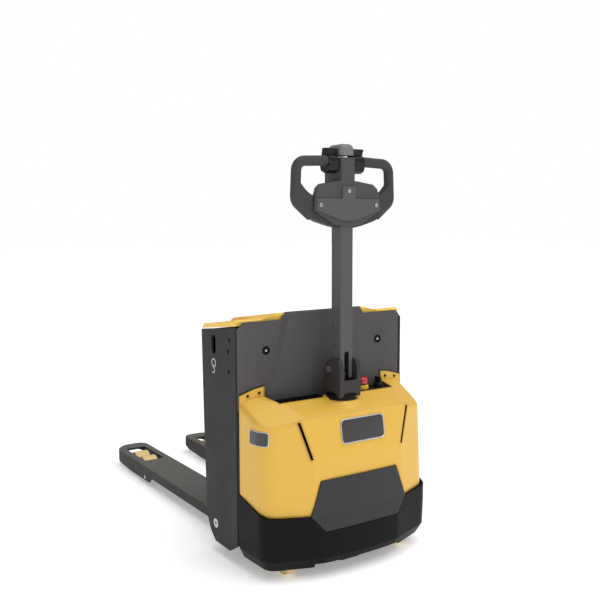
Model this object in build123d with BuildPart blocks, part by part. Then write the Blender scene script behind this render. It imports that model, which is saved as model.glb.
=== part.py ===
from build123d import *
import math
import os

os.makedirs("parts", exist_ok=True)

# Electric walkie pallet truck, in millimetres.
# X is across the truck (left is -X), +Y points along the forks, +Z is up.
# The origin lies on the floor under the middle of the truck's bounding box.

# ---- driving dimensions ----
LENGTH = 1682.0
WIDTH = 720.0
HEIGHT = 1470.0
LIFT = 115.0
TIP_Y = LENGTH / 2
REAR_Y = -LENGTH / 2
HALF_WIDTH = WIDTH / 2

# power unit
PANEL_Y = -595.0
PANEL_T = 6.0
FRAME_Y = PANEL_Y + PANEL_T
FRAME_T = 6.0
PANEL_TOP = 865.0
STEER_Y = -705.0
DECK_Z = 330.0
DECK_T = 10.0
COVER_T = 4.0
COVER_LOW = 190.0
CREASE_Z = 411.0
COVER_TOP = 604.0
RIM_Z = 591.0
COVER_CORNER_R = 80.0

# wheels
DRIVE_R = 105.0
DRIVE_W = 70.0
CASTOR_X = 244.0
CASTOR_Y = -710.0
CASTOR_R = 50.0
CASTOR_W = 36.0
CASTOR_TRAIL = 28.0
LOAD_R = 42.0
LOAD_W = 70.0
LOAD_PITCH = 92.0
BOGIE_Y = 645.0

# forks
FORK_X = 188.0
FORK_W = 162.0
FORK_TOP = 85.0
FORK_T = 8.0
FORK_LOW = 43.0
SKIRT_LOW = 18.0
FORK_HEEL = -384.0
HEEL_STEP = -325.0
HEEL_TOP = FORK_TOP - 1
OPENING = (526.0, 762.0)

# lift linkage
PIVOT_Y = -420.0
PIVOT_Z = 112.0
LINK_Y = 455.0
LINK_Z = 32.0
LINK_LEVER = 34.0
ROCKER_DROP = 44.0
ROCKER_X = 310.0
PIN_R = 6.0
RUN = 0.05

# battery box
BOX_REAR = -528.0
BOX_WALL = [(-330, 815), (-339, 476), (-353, 176), (-364, 112), (-379, 80)]
BOX_FLOOR = 200.0
BOX_TOP = 846.0
PLATE_T = 8.0

# tiller
TILT_Y = -688.0
TILT_Z = 690.0
ARM_W = 54.0
ARM_FRONT = -731.0
ARM_BACK = -674.0
GRIP_Y = -712.0
GRIP_Z = 1414.0
HEAD_FRONT = -738.0
HEAD_BACK = -686.0


def level(z):
    return Plane.XY.offset(z)


def across(y):
    """Upright plane that faces the operator (-Y); extrusion goes towards -Y."""
    return Plane.XZ.offset(-y)


def beside(x):
    """Upright plane that faces +X; sketches on it are drawn in (y, z)."""
    return Plane.YZ.offset(x)


# The load-wheel link swings from slightly below level to well down.
LINK_REACH = math.hypot(BOGIE_Y - LINK_Y, LOAD_R - LINK_Z)
LINK_SWING = math.asin((LOAD_R - LINK_Z) / LINK_REACH) + math.asin(
    (LINK_Z + LIFT - LOAD_R) / LINK_REACH)
ROD_TRAVEL = 2 * LINK_LEVER * math.sin(LINK_SWING / 2)
ROCKER_SWING = 2 * math.asin(ROD_TRAVEL / 2 / ROCKER_DROP)
ROCKER_ARM = LIFT / 2 / math.sin(ROCKER_SWING / 2)
print("link swing deg", math.degrees(LINK_SWING), "rod travel", ROD_TRAVEL)
print("rocker swing deg", math.degrees(ROCKER_SWING), "rocker arm", ROCKER_ARM)


# ============================================================ power unit shell
def cover_outline(crease_x, crease_y, corner_x, corner_y, inset):
    """Plan of the motor cover: straight sides, round corners, bowed rear."""
    side_x = HALF_WIDTH - 3 - inset
    a = (side_x, FRAME_Y)
    b = (corner_x - inset, corner_y + inset)
    c = (crease_x, crease_y + inset)
    FilletPolyline((a[0], a[1]), (b[0], b[1]), (c[0], c[1]),
                   radius=COVER_CORNER_R - inset)
    FilletPolyline((-a[0], a[1]), (-b[0], b[1]), (-c[0], c[1]),
                   radius=COVER_CORNER_R - inset)
    ThreePointArc((c[0], c[1]), (0, c[1] - 6), (-c[0], c[1]))
    Line((a[0], a[1]), (-a[0], a[1]))


COVER_SECTIONS = [
    # z, crease x and y, corner x and y
    (COVER_LOW, 196, -813, 349, -752),
    (CREASE_Z, 188, -803, 349, -741),
    (COVER_TOP + 20, 262, -770, 346, -724),
]
SHOULDER = (357, FRAME_Y, 590)
SHOULDER_UP = (0.371, -0.431, 0.823)


def cover_block(inset, top_drop):
    """Solid of the motor cover's outer or inner surface."""
    with BuildPart() as block:
        for z, crease_x, crease_y, corner_x, corner_y in COVER_SECTIONS:
            with BuildSketch(level(z)):
                with BuildLine():
                    cover_outline(crease_x, crease_y, corner_x, corner_y, inset)
                make_face()
        loft(ruled=True)
        with BuildSketch(beside(-HALF_WIDTH)):
            with BuildLine():
                Polyline(
                    (FRAME_Y, COVER_LOW), (FRAME_Y, COVER_TOP - top_drop),
                    (-690, RIM_Z - top_drop), (-860, 525.6 - top_drop), (-860, COVER_LOW),
                    close=True)
            make_face()
        extrude(amount=WIDTH, mode=Mode.INTERSECT)
        # shoulders that fall away to the rear corners
        for sign in (1, -1):
            shoulder = Plane(origin=(sign * SHOULDER[0], SHOULDER[1], SHOULDER[2] - top_drop),
                             z_dir=(sign * SHOULDER_UP[0], SHOULDER_UP[1], SHOULDER_UP[2]))
            split(bisect_by=shoulder, keep=Keep.BOTTOM)
    return block.part


outer_block = cover_block(0, 0)
inner_block = cover_block(COVER_T, COVER_T)

HEX_LOW, HEX_MID, HEX_HIGH = (156, 169), (205, 222), (163, 338)


def hexagon(grow):
    """Outline of the rear panel in (x, z), grown by a gap all round."""
    Polyline(
        (HEX_LOW[0] + grow, HEX_LOW[1] - grow), (HEX_MID[0] + grow, HEX_MID[1]),
        (HEX_HIGH[0] + grow, HEX_HIGH[1] + grow), (-HEX_HIGH[0] - grow, HEX_HIGH[1] + grow),
        (-HEX_MID[0] - grow, HEX_MID[1]), (-HEX_LOW[0] - grow, HEX_LOW[1] - grow),
        close=True)


def seam(low):
    """Side view of the seam between cover and bumper, closed far below or above."""
    end = 0 if low else 900
    Polyline(
        (FRAME_Y + 20, 275), (FRAME_Y, 271), (-690, 243), (-745, 226), (-860, 222),
        (-860, end), (FRAME_Y + 20, end), close=True)


SLIT_TOP = Vector(231, -784, 548)
SLIT_END = Vector(188, -803, CREASE_Z)
TAB_SCREWS = [(326, 611), (280, 617)]
TAB_IN = 258.0
TRAY_HALF = 246.0
COLLAR_R = 53.0
TRAY_REAR = -684.0

with BuildPart() as motor_cover:
    add(outer_block)
    top_edges = motor_cover.edges().filter_by(
        lambda e: e.center().Z > 500 and e.center().Y < FRAME_Y - 5
        and abs(e.tangent_at(0.5).Z) < 0.9)
    fillet(top_edges, radius=18)
    add(inner_block, mode=Mode.SUBTRACT)
    # lower edge follows the bumper's seam
    with BuildSketch(beside(-HALF_WIDTH)):
        with BuildLine():
            seam(low=True)
        make_face()
    extrude(amount=WIDTH, mode=Mode.SUBTRACT)
    # opening in the top for tray, tiller and controls
    with BuildSketch(level(500)):
        with BuildLine():
            Polyline(
                (-TAB_IN, FRAME_Y), (TAB_IN, FRAME_Y), (TAB_IN, PANEL_Y - 18),
                (TRAY_HALF, TRAY_REAR), (-TRAY_HALF, TRAY_REAR), (-TAB_IN, PANEL_Y - 18),
                close=True)
        make_face()
        with Locations((0, STEER_Y)):
            Circle(COLLAR_R)
    extrude(amount=200, mode=Mode.SUBTRACT)
    # cut-out for the rear panel
    with BuildSketch(across(-780)):
        with BuildLine():
            hexagon(1.0)
        make_face()
    extrude(amount=80, mode=Mode.SUBTRACT)
    # slanted air slits, a wedge recess with a slot through its deep side
    for sign in (1, -1):
        top = Vector(sign * SLIT_TOP.X, SLIT_TOP.Y, SLIT_TOP.Z)
        end = Vector(sign * SLIT_END.X, SLIT_END.Y, SLIT_END.Z)
        run = end - top
        plane = Plane(origin=(top + end) / 2, x_dir=(1, 0, 0), z_dir=run)
        with BuildSketch(plane):
            with BuildLine():
                Polyline((-sign, -12), (-sign, 7), (sign * 2, 7), (sign * 13, -12), close=True)
            make_face()
        extrude(amount=run.length / 2 - 4, both=True, mode=Mode.SUBTRACT)
    # flanges that screw to the bulkhead
    with BuildSketch(across(PANEL_Y)):
        for sign in (1, -1):
            with BuildLine():
                Polyline(
                    (sign * TAB_IN, 570), (sign * TAB_IN, 638), (sign * 300, 632),
                    (sign * 357, 615), (sign * 357, 570), close=True)
            make_face()
        for sign in (1, -1):
            with Locations(*[(sign * x, z) for x, z in TAB_SCREWS]):
                Circle(3.2, mode=Mode.SUBTRACT)
    extrude(amount=6)
    # stay behind the bulkhead panel
    with BuildSketch(across(FRAME_Y + 1)):
        Rectangle(WIDTH + 20, 2000)
    extrude(amount=FRAME_Y + 1 - PANEL_Y, mode=Mode.SUBTRACT)
motor_cover.part.label = "motor_cover"
export_step(motor_cover.part, "parts/motor_cover.step")

# ---- bumper skirt ----
BUMPER_SECTIONS = [
    # z, inset from the widest outline
    (39, 22), (76, 3), (169, 0), (290, 0),
]
BUMPER_T = 6.0


def bumper_outline(inset):
    """Plan of the bumper skirt: bowed rear, angled flanks, round corners."""
    side_x = HALF_WIDTH - inset
    FilletPolyline(
        (side_x, FRAME_Y), (side_x - 4, -765 + inset), (156, -831 + inset), radius=70 - inset)
    FilletPolyline(
        (-side_x, FRAME_Y), (4 - side_x, -765 + inset), (-156, -831 + inset),
        radius=70 - inset)
    ThreePointArc((156, -831 + inset), (0, REAR_Y + inset), (-156, -831 + inset))
    Line((side_x, FRAME_Y), (-side_x, FRAME_Y))


def bumper_block(extra):
    with BuildPart() as block:
        for z, inset in BUMPER_SECTIONS:
            with BuildSketch(level(z)):
                with BuildLine():
                    bumper_outline(inset + extra)
                make_face()
        loft(ruled=True)
    return block.part


def rear_skin(offset):
    """Block whose rear face is the bowed surface that carries the rear panel."""
    with BuildPart() as block:
        for z, end_x, end_y, mid_y in (
                (150, 180, -833, REAR_Y), (222, 215, -812, -828), (350, 180, -809, -817)):
            with BuildSketch(level(z)):
                with BuildLine():
                    ThreePointArc((end_x, end_y + offset), (0, mid_y + offset),
                                  (-end_x, end_y + offset))
                    Polyline((end_x, end_y + offset), (end_x, -760), (-end_x, -760),
                             (-end_x, end_y + offset))
                make_face()
        loft(ruled=True)
    return block.part


with BuildPart() as bumper:
    add(bumper_block(0))
    with BuildSketch(beside(-HALF_WIDTH - 5)):
        with BuildLine():
            seam(low=False)
        make_face()
    extrude(amount=WIDTH + 10, mode=Mode.SUBTRACT)
    add(bumper_block(BUMPER_T), mode=Mode.SUBTRACT)
    # raised lower edge in the middle
    with BuildSketch(across(-700)):
        Rectangle(370, 106, align=(Align.CENTER, Align.CENTER))
    extrude(amount=200, mode=Mode.SUBTRACT)
    with BuildSketch(across(-740)):
        with BuildLine():
            hexagon(1.0)
        make_face()
    extrude(amount=120, mode=Mode.SUBTRACT)
    # clear of the side plates and of the bulkhead
    with BuildSketch(level(0)):
        with Locations((0, FRAME_Y)):
            Rectangle(WIDTH + 20, 2, align=(Align.CENTER, Align.CENTER))
    extrude(amount=400, mode=Mode.SUBTRACT)
bumper.part.label = "bumper"
export_step(bumper.part, "parts/bumper.step")

with BuildPart() as bumper_panel:
    with BuildSketch(across(-780)):
        with BuildLine():
            hexagon(0)
        make_face()
    extrude(amount=80)
    add(rear_skin(0), mode=Mode.INTERSECT)
    add(rear_skin(9), mode=Mode.SUBTRACT)
bumper_panel.part.label = "bumper_panel"
export_step(bumper_panel.part, "parts/bumper_panel.step")

# ---- grey bulkhead panel with its raised middle ----
with BuildPart() as bulkhead_panel:
    with BuildSketch(across(FRAME_Y)):
        with BuildLine():
            Polyline(
                (-HALF_WIDTH, 560), (-HALF_WIDTH, 842), (-HALF_WIDTH + 24, PANEL_TOP),
                (HALF_WIDTH - 24, PANEL_TOP), (HALF_WIDTH, 842), (HALF_WIDTH, 560), close=True)
        make_face()
    extrude(amount=PANEL_T)
    # bevelled outer borders
    for sign in (1, -1):
        with BuildSketch(level(500)):
            with BuildLine():
                Polyline((sign * 361, PANEL_Y - 1), (sign * 340, PANEL_Y - 1),
                         (sign * 340, PANEL_Y), (sign * 361, PANEL_Y + 4), close=True)
            make_face()
        extrude(amount=400, mode=Mode.SUBTRACT)
    # raised middle with sloping flanks
    with BuildSketch(across(FRAME_Y)):
        with BuildLine():
            Polyline((-263, 560), (-183, PANEL_TOP), (-166, 891), (166, 891),
                     (183, PANEL_TOP), (263, 560), close=True)
        make_face()
    with BuildSketch(across(PANEL_Y - 17)):
        with BuildLine():
            Polyline((-243, 560), (-166, PANEL_TOP - 2), (-152, 885), (152, 885),
                     (166, PANEL_TOP - 2), (243, 560), close=True)
        make_face()
    loft(ruled=True)
    # shallow upright trough behind the tiller
    with BuildSketch(level(500)):
        with Locations((0, PANEL_Y - 17 - 150)):
            Circle(163)
    extrude(amount=450, mode=Mode.SUBTRACT)
    # counterbored holes for its two screws, plain ones for the cover's screws
    with Locations(across(PANEL_Y)):
        with Locations((-247, 762), (247, 762)):
            CounterBoreHole(radius=3.2, counter_bore_radius=9, counter_bore_depth=3)
    with Locations(across(PANEL_Y)):
        with Locations(*[(s * x, z) for x, z in TAB_SCREWS for s in (1, -1)]):
            Hole(radius=3.2)
bulkhead_panel.part.label = "bulkhead_panel"
export_step(bulkhead_panel.part, "parts/bulkhead_panel.step")


def screw(head_radius, head_height, shank_radius, shank_length, socket):
    """Socket-head screw; the head's underside is at z=0 and the shank points to -z."""
    with BuildPart() as s:
        Cylinder(head_radius, head_height, align=(Align.CENTER, Align.CENTER, Align.MIN))
        chamfer(s.edges().group_by(Axis.Z)[-1], length=head_height * 0.25)
        Cylinder(shank_radius, shank_length, align=(Align.CENTER, Align.CENTER, Align.MAX))
        with BuildSketch(level(head_height)):
            RegularPolygon(radius=socket, side_count=6)
        extrude(amount=-head_height * 0.6, mode=Mode.SUBTRACT)
    return s.part


panel_screw = screw(6.5, 4.0, 3.0, 7.0, 2.6)
tab_screw = screw(5.0, 3.0, 3.0, 15.0, 2.2)
with BuildPart() as body_screws:
    with Locations(across(PANEL_Y + 3)):
        with Locations((-247, 762), (247, 762)):
            add(panel_screw)
    with Locations(across(PANEL_Y - 6)):
        with Locations(*[(s * x, z) for x, z in TAB_SCREWS for s in (1, -1)]):
            add(tab_screw)
body_screws.part.label = "body_screws"
export_step(body_screws.part, "parts/body_screws.step")

# ============================================================ chassis and its insides
DECK_REAR = -795.0
BEARING_R = 92.0
CASTOR_AXIS_Y = CASTOR_Y + CASTOR_TRAIL
CASTOR_SHELF = 134.0
SLOT_Z = PIVOT_Z + LIFT / 2
SLOT_Y = PIVOT_Y - ROCKER_ARM * math.cos(ROCKER_SWING / 2)
ROLLER_R = 10.0
RAIL_X = 170.0
RAIL_DEPTH = 34.0

with BuildPart() as chassis_frame:
    # upright front plate
    with BuildSketch(across(FRAME_Y + FRAME_T)):
        with BuildLine():
            Polyline((-340, 90), (-340, 838), (340, 838), (340, 90), close=True)
        make_face()
        # arch over the drive wheel and slots for the rocker arms
        with Locations((0, 90)):
            Rectangle(190, 120, align=(Align.CENTER, Align.MIN), mode=Mode.SUBTRACT)
        for sign in (1, -1):
            with Locations((sign * ROCKER_X, SLOT_Z)):
                Rectangle(30, 110, mode=Mode.SUBTRACT)
        with Locations((-247, 762), (247, 762)):
            Circle(3.2, mode=Mode.SUBTRACT)
        with Locations(*[(s * x, z) for x, z in TAB_SCREWS for s in (1, -1)]):
            Circle(3.2, mode=Mode.SUBTRACT)
    extrude(amount=FRAME_T)
    # deck that carries the steering bearing
    with BuildSketch(level(DECK_Z)):
        with BuildLine():
            Polyline((-322, FRAME_Y), (-322, -730), (-180, DECK_REAR), (180, DECK_REAR),
                     (322, -730), (322, FRAME_Y), close=True)
        make_face()
        with Locations((0, STEER_Y)):
            Circle(BEARING_R, mode=Mode.SUBTRACT)
    extrude(amount=DECK_T)
    # castor shelves and their outer webs
    for sign in (1, -1):
        with BuildSketch(level(CASTOR_SHELF)):
            with Locations((sign * 224, FRAME_Y)):
                Rectangle(148, 160, align=(Align.CENTER, Align.MAX))
        extrude(amount=8)
        with BuildSketch(beside(sign * 326 - 4)):
            with BuildLine():
                Polyline((FRAME_Y, CASTOR_SHELF), (FRAME_Y, DECK_Z + 2), (-725, DECK_Z + 2),
                         (-745, CASTOR_SHELF), close=True)
            make_face()
        extrude(amount=8)
        with BuildSketch(beside(sign * 154 - 4)):
            with BuildLine():
                Polyline((FRAME_Y, CASTOR_SHELF), (FRAME_Y, DECK_Z + 2), (-640, DECK_Z + 2),
                         (-640, CASTOR_SHELF), close=True)
            make_face()
        extrude(amount=8)
        # slotted bracket that holds the rocker's roller
        with BuildSketch(beside(sign * 291 - 4)):
            with BuildLine():
                Polyline((FRAME_Y, SLOT_Z - 24), (FRAME_Y, SLOT_Z + 24),
                         (SLOT_Y - 26, SLOT_Z + 24), (SLOT_Y - 26, SLOT_Z - 24), close=True)
            make_face()
            with Locations((SLOT_Y - 3.5, SLOT_Z)):
                SlotOverall(2 * ROLLER_R + 12, 2 * ROLLER_R + 1.6, mode=Mode.SUBTRACT)
        extrude(amount=8)
    # foot of the lift cylinder
    with BuildSketch(level(212)):
        with Locations((0, FRAME_Y + FRAME_T)):
            Rectangle(70, 50, align=(Align.CENTER, Align.MIN))
    extrude(amount=10)
    # channels that guide the carriage's rollers
    for sign in (1, -1):
        with BuildSketch(level(240)):
            with Locations((sign * RAIL_X, FRAME_Y + FRAME_T)):
                Rectangle(56, RAIL_DEPTH, align=(Align.CENTER, Align.MIN))
                with Locations((0, 5)):
                    Rectangle(44, RAIL_DEPTH - 5, align=(Align.CENTER, Align.MIN),
                              mode=Mode.SUBTRACT)
        extrude(amount=590)
    # holes for the castor king pins
    with Locations((CASTOR_X, CASTOR_AXIS_Y, CASTOR_SHELF + 4),
                   (-CASTOR_X, CASTOR_AXIS_Y, CASTOR_SHELF + 4)):
        Cylinder(11 + RUN, 12, mode=Mode.SUBTRACT)
chassis_frame.part.label = "chassis_frame"
export_step(chassis_frame.part, "parts/chassis_frame.step")

CYL_Y = -556.0
CYL_BASE = 222.0
CYL_TOP = 655.0
ROD_R = 14.0
ROD_TOP = 700.0
with BuildPart() as lift_cylinder:
    with BuildSketch(level(CYL_BASE)):
        with Locations((0, CYL_Y)):
            Circle(22)
    extrude(amount=CYL_TOP - CYL_BASE)
    with BuildSketch(level(CYL_BASE + 14)):
        with Locations((0, CYL_Y)):
            Circle(17)
    extrude(amount=CYL_TOP - CYL_BASE - 30, mode=Mode.SUBTRACT)
    with BuildSketch(level(CYL_TOP)):
        with Locations((0, CYL_Y)):
            Circle(ROD_R + RUN)
    extrude(amount=-40, mode=Mode.SUBTRACT)
lift_cylinder.part.label = "lift_cylinder"
export_step(lift_cylinder.part, "parts/lift_cylinder.step")

with BuildPart() as lift_rod:
    with BuildSketch(level(CYL_BASE + 20)):
        with Locations((0, CYL_Y)):
            Circle(17 - RUN)
    extrude(amount=26)
    with BuildSketch(level(CYL_BASE + 40)):
        with Locations((0, CYL_Y)):
            Circle(ROD_R)
    extrude(amount=ROD_TOP - CYL_BASE - 40)
lift_rod.part.label = "lift_rod"
export_step(lift_rod.part, "parts/lift_rod.step")

with BuildPart() as guide_rollers:
    roller_y = FRAME_Y + FRAME_T + 5 + 14.5
    for sign in (1, -1):
        for z in (330, 640):
            with BuildSketch(beside(sign * RAIL_X - 20)):
                with Locations((roller_y, z)):
                    Circle(13)
            extrude(amount=40)
            with BuildSketch(across(BOX_REAR)):
                with Locations((sign * RAIL_X, z)):
                    Circle(8)
            extrude(amount=BOX_REAR - roller_y)
guide_rollers.part.label = "guide_rollers"
export_step(guide_rollers.part, "parts/guide_rollers.step")

with BuildPart() as steering_bearing:
    with BuildSketch(level(DECK_Z - 12)):
        with Locations((0, STEER_Y)):
            Circle(BEARING_R + 6)
            Circle(80 + RUN, mode=Mode.SUBTRACT)
    extrude(amount=12)
    with BuildSketch(level(DECK_Z)):
        with Locations((0, STEER_Y)):
            Circle(BEARING_R)
            Circle(80 + RUN, mode=Mode.SUBTRACT)
    extrude(amount=DECK_T)
steering_bearing.part.label = "steering_bearing"
export_step(steering_bearing.part, "parts/steering_bearing.step")

deck_top = DECK_Z + DECK_T
with BuildPart() as pump_motor:
    with BuildSketch(level(deck_top)):
        with Locations((178, -655)):
            Circle(42)
    extrude(amount=150)
    fillet(pump_motor.edges().group_by(Axis.Z)[-1], radius=8)
    with BuildSketch(level(deck_top + 20)):
        with Locations((178, -655)):
            Circle(46)
    extrude(amount=14)
pump_motor.part.label = "pump_motor"
export_step(pump_motor.part, "parts/pump_motor.step")

with BuildPart() as oil_tank:
    with BuildSketch(level(deck_top)):
        with Locations((272, -650)):
            RectangleRounded(84, 96, 12)
    extrude(amount=170)
    with BuildSketch(level(deck_top + 170)):
        with Locations((272, -665)):
            Circle(15)
    extrude(amount=16)
oil_tank.part.label = "oil_tank"
export_step(oil_tank.part, "parts/oil_tank.step")

with BuildPart() as motor_controller:
    with BuildSketch(across(PANEL_Y + PANEL_T)):
        with Locations((-225, 450)):
            RectangleRounded(170, 150, 6)
    extrude(amount=26)
    with BuildSketch(across(PANEL_Y + PANEL_T - 26)):
        with Locations((-225, 450)):
            with GridLocations(14, 1, 10, 1):
                Rectangle(5, 130)
    extrude(amount=18)
motor_controller.part.label = "motor_controller"
export_step(motor_controller.part, "parts/motor_controller.step")

# ---- top tray and control plate ----
TRAY_Z = 588.0
TRAY_DEPTH = 36.0
with BuildPart() as storage_tray:
    with BuildSketch(level(TRAY_Z - TRAY_DEPTH)):
        with BuildLine():
            Polyline((-244, PANEL_Y - 18), (-244, TRAY_REAR + 2), (-46, TRAY_REAR + 2),
                     (-46, PANEL_Y - 18), close=True)
        make_face()
    extrude(amount=TRAY_DEPTH)
    with BuildSketch(level(TRAY_Z - TRAY_DEPTH + 3)):
        with Locations((-145, -648)):
            Rectangle(190, 62)
    extrude(amount=TRAY_DEPTH, mode=Mode.SUBTRACT)
    with BuildSketch(level(TRAY_Z - 20)):
        with Locations((-110, -648)):
            Rectangle(3, 62)
    extrude(amount=16)
    with Locations((0, STEER_Y, TRAY_Z - 40)):
        Cylinder(COLLAR_R + 1.5, 120, mode=Mode.SUBTRACT)
storage_tray.part.label = "storage_tray"
export_step(storage_tray.part, "parts/storage_tray.step")

STOP_X, STOP_Y = 143.0, -637.0
KEY_X, KEY_Y = 215.0, -641.0
PLATE_Z = 590.0
with BuildPart() as control_plate:
    with BuildSketch(level(PLATE_Z - 5)):
        with BuildLine():
            Polyline((50, PANEL_Y - 18), (50, TRAY_REAR + 2), (244, TRAY_REAR + 2),
                     (244, PANEL_Y - 18), close=True)
        make_face()
        with Locations((0, STEER_Y)):
            Circle(COLLAR_R + 1.5, mode=Mode.SUBTRACT)
        with Locations((STOP_X, STOP_Y)):
            Circle(11, mode=Mode.SUBTRACT)
        with Locations((KEY_X, KEY_Y)):
            Circle(9, mode=Mode.SUBTRACT)
    extrude(amount=5)
    # skirt under the plate
    with BuildSketch(level(PLATE_Z - 45)):
        with Locations((170, -650)):
            Rectangle(140, 60)
            Rectangle(134, 54, mode=Mode.SUBTRACT)
    extrude(amount=40)
control_plate.part.label = "control_plate"
export_step(control_plate.part, "parts/control_plate.step")

with BuildPart() as stop_button_collar:
    with BuildSketch(level(PLATE_Z)):
        with Locations((STOP_X, STOP_Y)):
            Circle(24)
            Circle(10.3, mode=Mode.SUBTRACT)
    extrude(amount=14, taper=8)
stop_button_collar.part.label = "stop_button_collar"
export_step(stop_button_collar.part, "parts/stop_button_collar.step")

with BuildPart() as stop_button:
    with BuildSketch(level(PLATE_Z - 30)):
        with Locations((STOP_X, STOP_Y)):
            Circle(8)
    extrude(amount=52)
    with BuildSketch(level(PLATE_Z + 20)):
        with Locations((STOP_X, STOP_Y)):
            Circle(20)
    extrude(amount=22)
    fillet(stop_button.edges().group_by(Axis.Z)[-1], radius=9)
stop_button.part.label = "stop_button"
export_step(stop_button.part, "parts/stop_button.step")

with BuildPart() as key_switch:
    with BuildSketch(level(PLATE_Z - 26)):
        with Locations((KEY_X, KEY_Y)):
            Circle(8.5)
    extrude(amount=26)
    with BuildSketch(level(PLATE_Z + 0.3)):
        with Locations((KEY_X, KEY_Y)):
            Circle(17)
    extrude(amount=14)
    fillet(key_switch.edges().group_by(Axis.Z)[-1], radius=2)
    with BuildSketch(level(PLATE_Z - 2)):
        with Locations((KEY_X, KEY_Y)):
            Circle(8.5)
    extrude(amount=4)
    with BuildSketch(level(PLATE_Z + 14)):
        with Locations((KEY_X, KEY_Y)):
            RectangleRounded(11, 32, 4)
    extrude(amount=22)
key_switch.part.label = "key_switch"
export_step(key_switch.part, "parts/key_switch.step")

# ============================================================ carriage: box and forks
PLATE_IN = HALF_WIDTH - PLATE_T
NEAR_Y = -581.0
HOOK_SLOT = (-420.0, 771.5)
PLATE_HOLES = [(-534, 798), (-524, 757), (-528, 685)]
BOLT_HEAD_R, BOLT_HEAD_H = 17.0, 3.0


def side_plate_profile():
    """Side view of a side plate in (y, z)."""
    Polyline(
        (NEAR_Y, 77), (NEAR_Y, 848), (-327, 817), (-337, 476), (-351, 176), (-362, 111),
        (-382, 75), (-417, 45), (-524, 43), close=True)


for side, sign in (("left", -1), ("right", 1)):
    with BuildPart() as side_plate:
        with BuildSketch(beside(sign * (PLATE_IN + PLATE_T / 2) - PLATE_T / 2)):
            with BuildLine():
                side_plate_profile()
            make_face()
            with Locations(HOOK_SLOT):
                SlotOverall(70, 32, rotation=90, mode=Mode.SUBTRACT)
            with Locations(*PLATE_HOLES):
                Circle(6, mode=Mode.SUBTRACT)
            with Locations((PIVOT_Y, PIVOT_Z)):
                Circle(10 + RUN, mode=Mode.SUBTRACT)
            with Locations((-341, 617)):
                Rectangle(8, 22, mode=Mode.SUBTRACT)
        extrude(amount=PLATE_T)
        outer = side_plate.faces().sort_by(Axis.X)[-1 if sign > 0 else 0]
        chamfer(outer.outer_wire().edges().sort_by(Axis.Y)[:1], length=2)
        # seat of the pivot bolt's head
        with BuildSketch(beside(sign * HALF_WIDTH)):
            with Locations((PIVOT_Y, PIVOT_Z)):
                Circle(BOLT_HEAD_R + 0.2)
        extrude(amount=-sign * (BOLT_HEAD_H + 0.2), mode=Mode.SUBTRACT)
    side_plate.part.label = f"side_plate_{side}"
    export_step(side_plate.part, f"parts/side_plate_{side}.step")

# ---- battery cover's hinge ----
LID_HINGE_Y = -322.0
LID_HINGE_Z = 822.0
LID_REAR = NEAR_Y + 2
LID_X = HALF_WIDTH - 2
HINGE_X = 200.0
EYE_R = 5.0
EYE_W = 30.0
HINGE_PIN_R = 2.5


def hinge_eye(x, width, root):
    """Eye around the lid's hinge axis with a root that reaches a wall, in (y, z)."""
    with BuildPart() as eye:
        with BuildSketch(beside(x)):
            with BuildLine():
                Polyline(*root, close=True)
            make_face()
            with Locations((LID_HINGE_Y, LID_HINGE_Z)):
                Circle(EYE_R)
                Circle(HINGE_PIN_R, mode=Mode.SUBTRACT)
        extrude(amount=width)
    return eye.part


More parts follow.
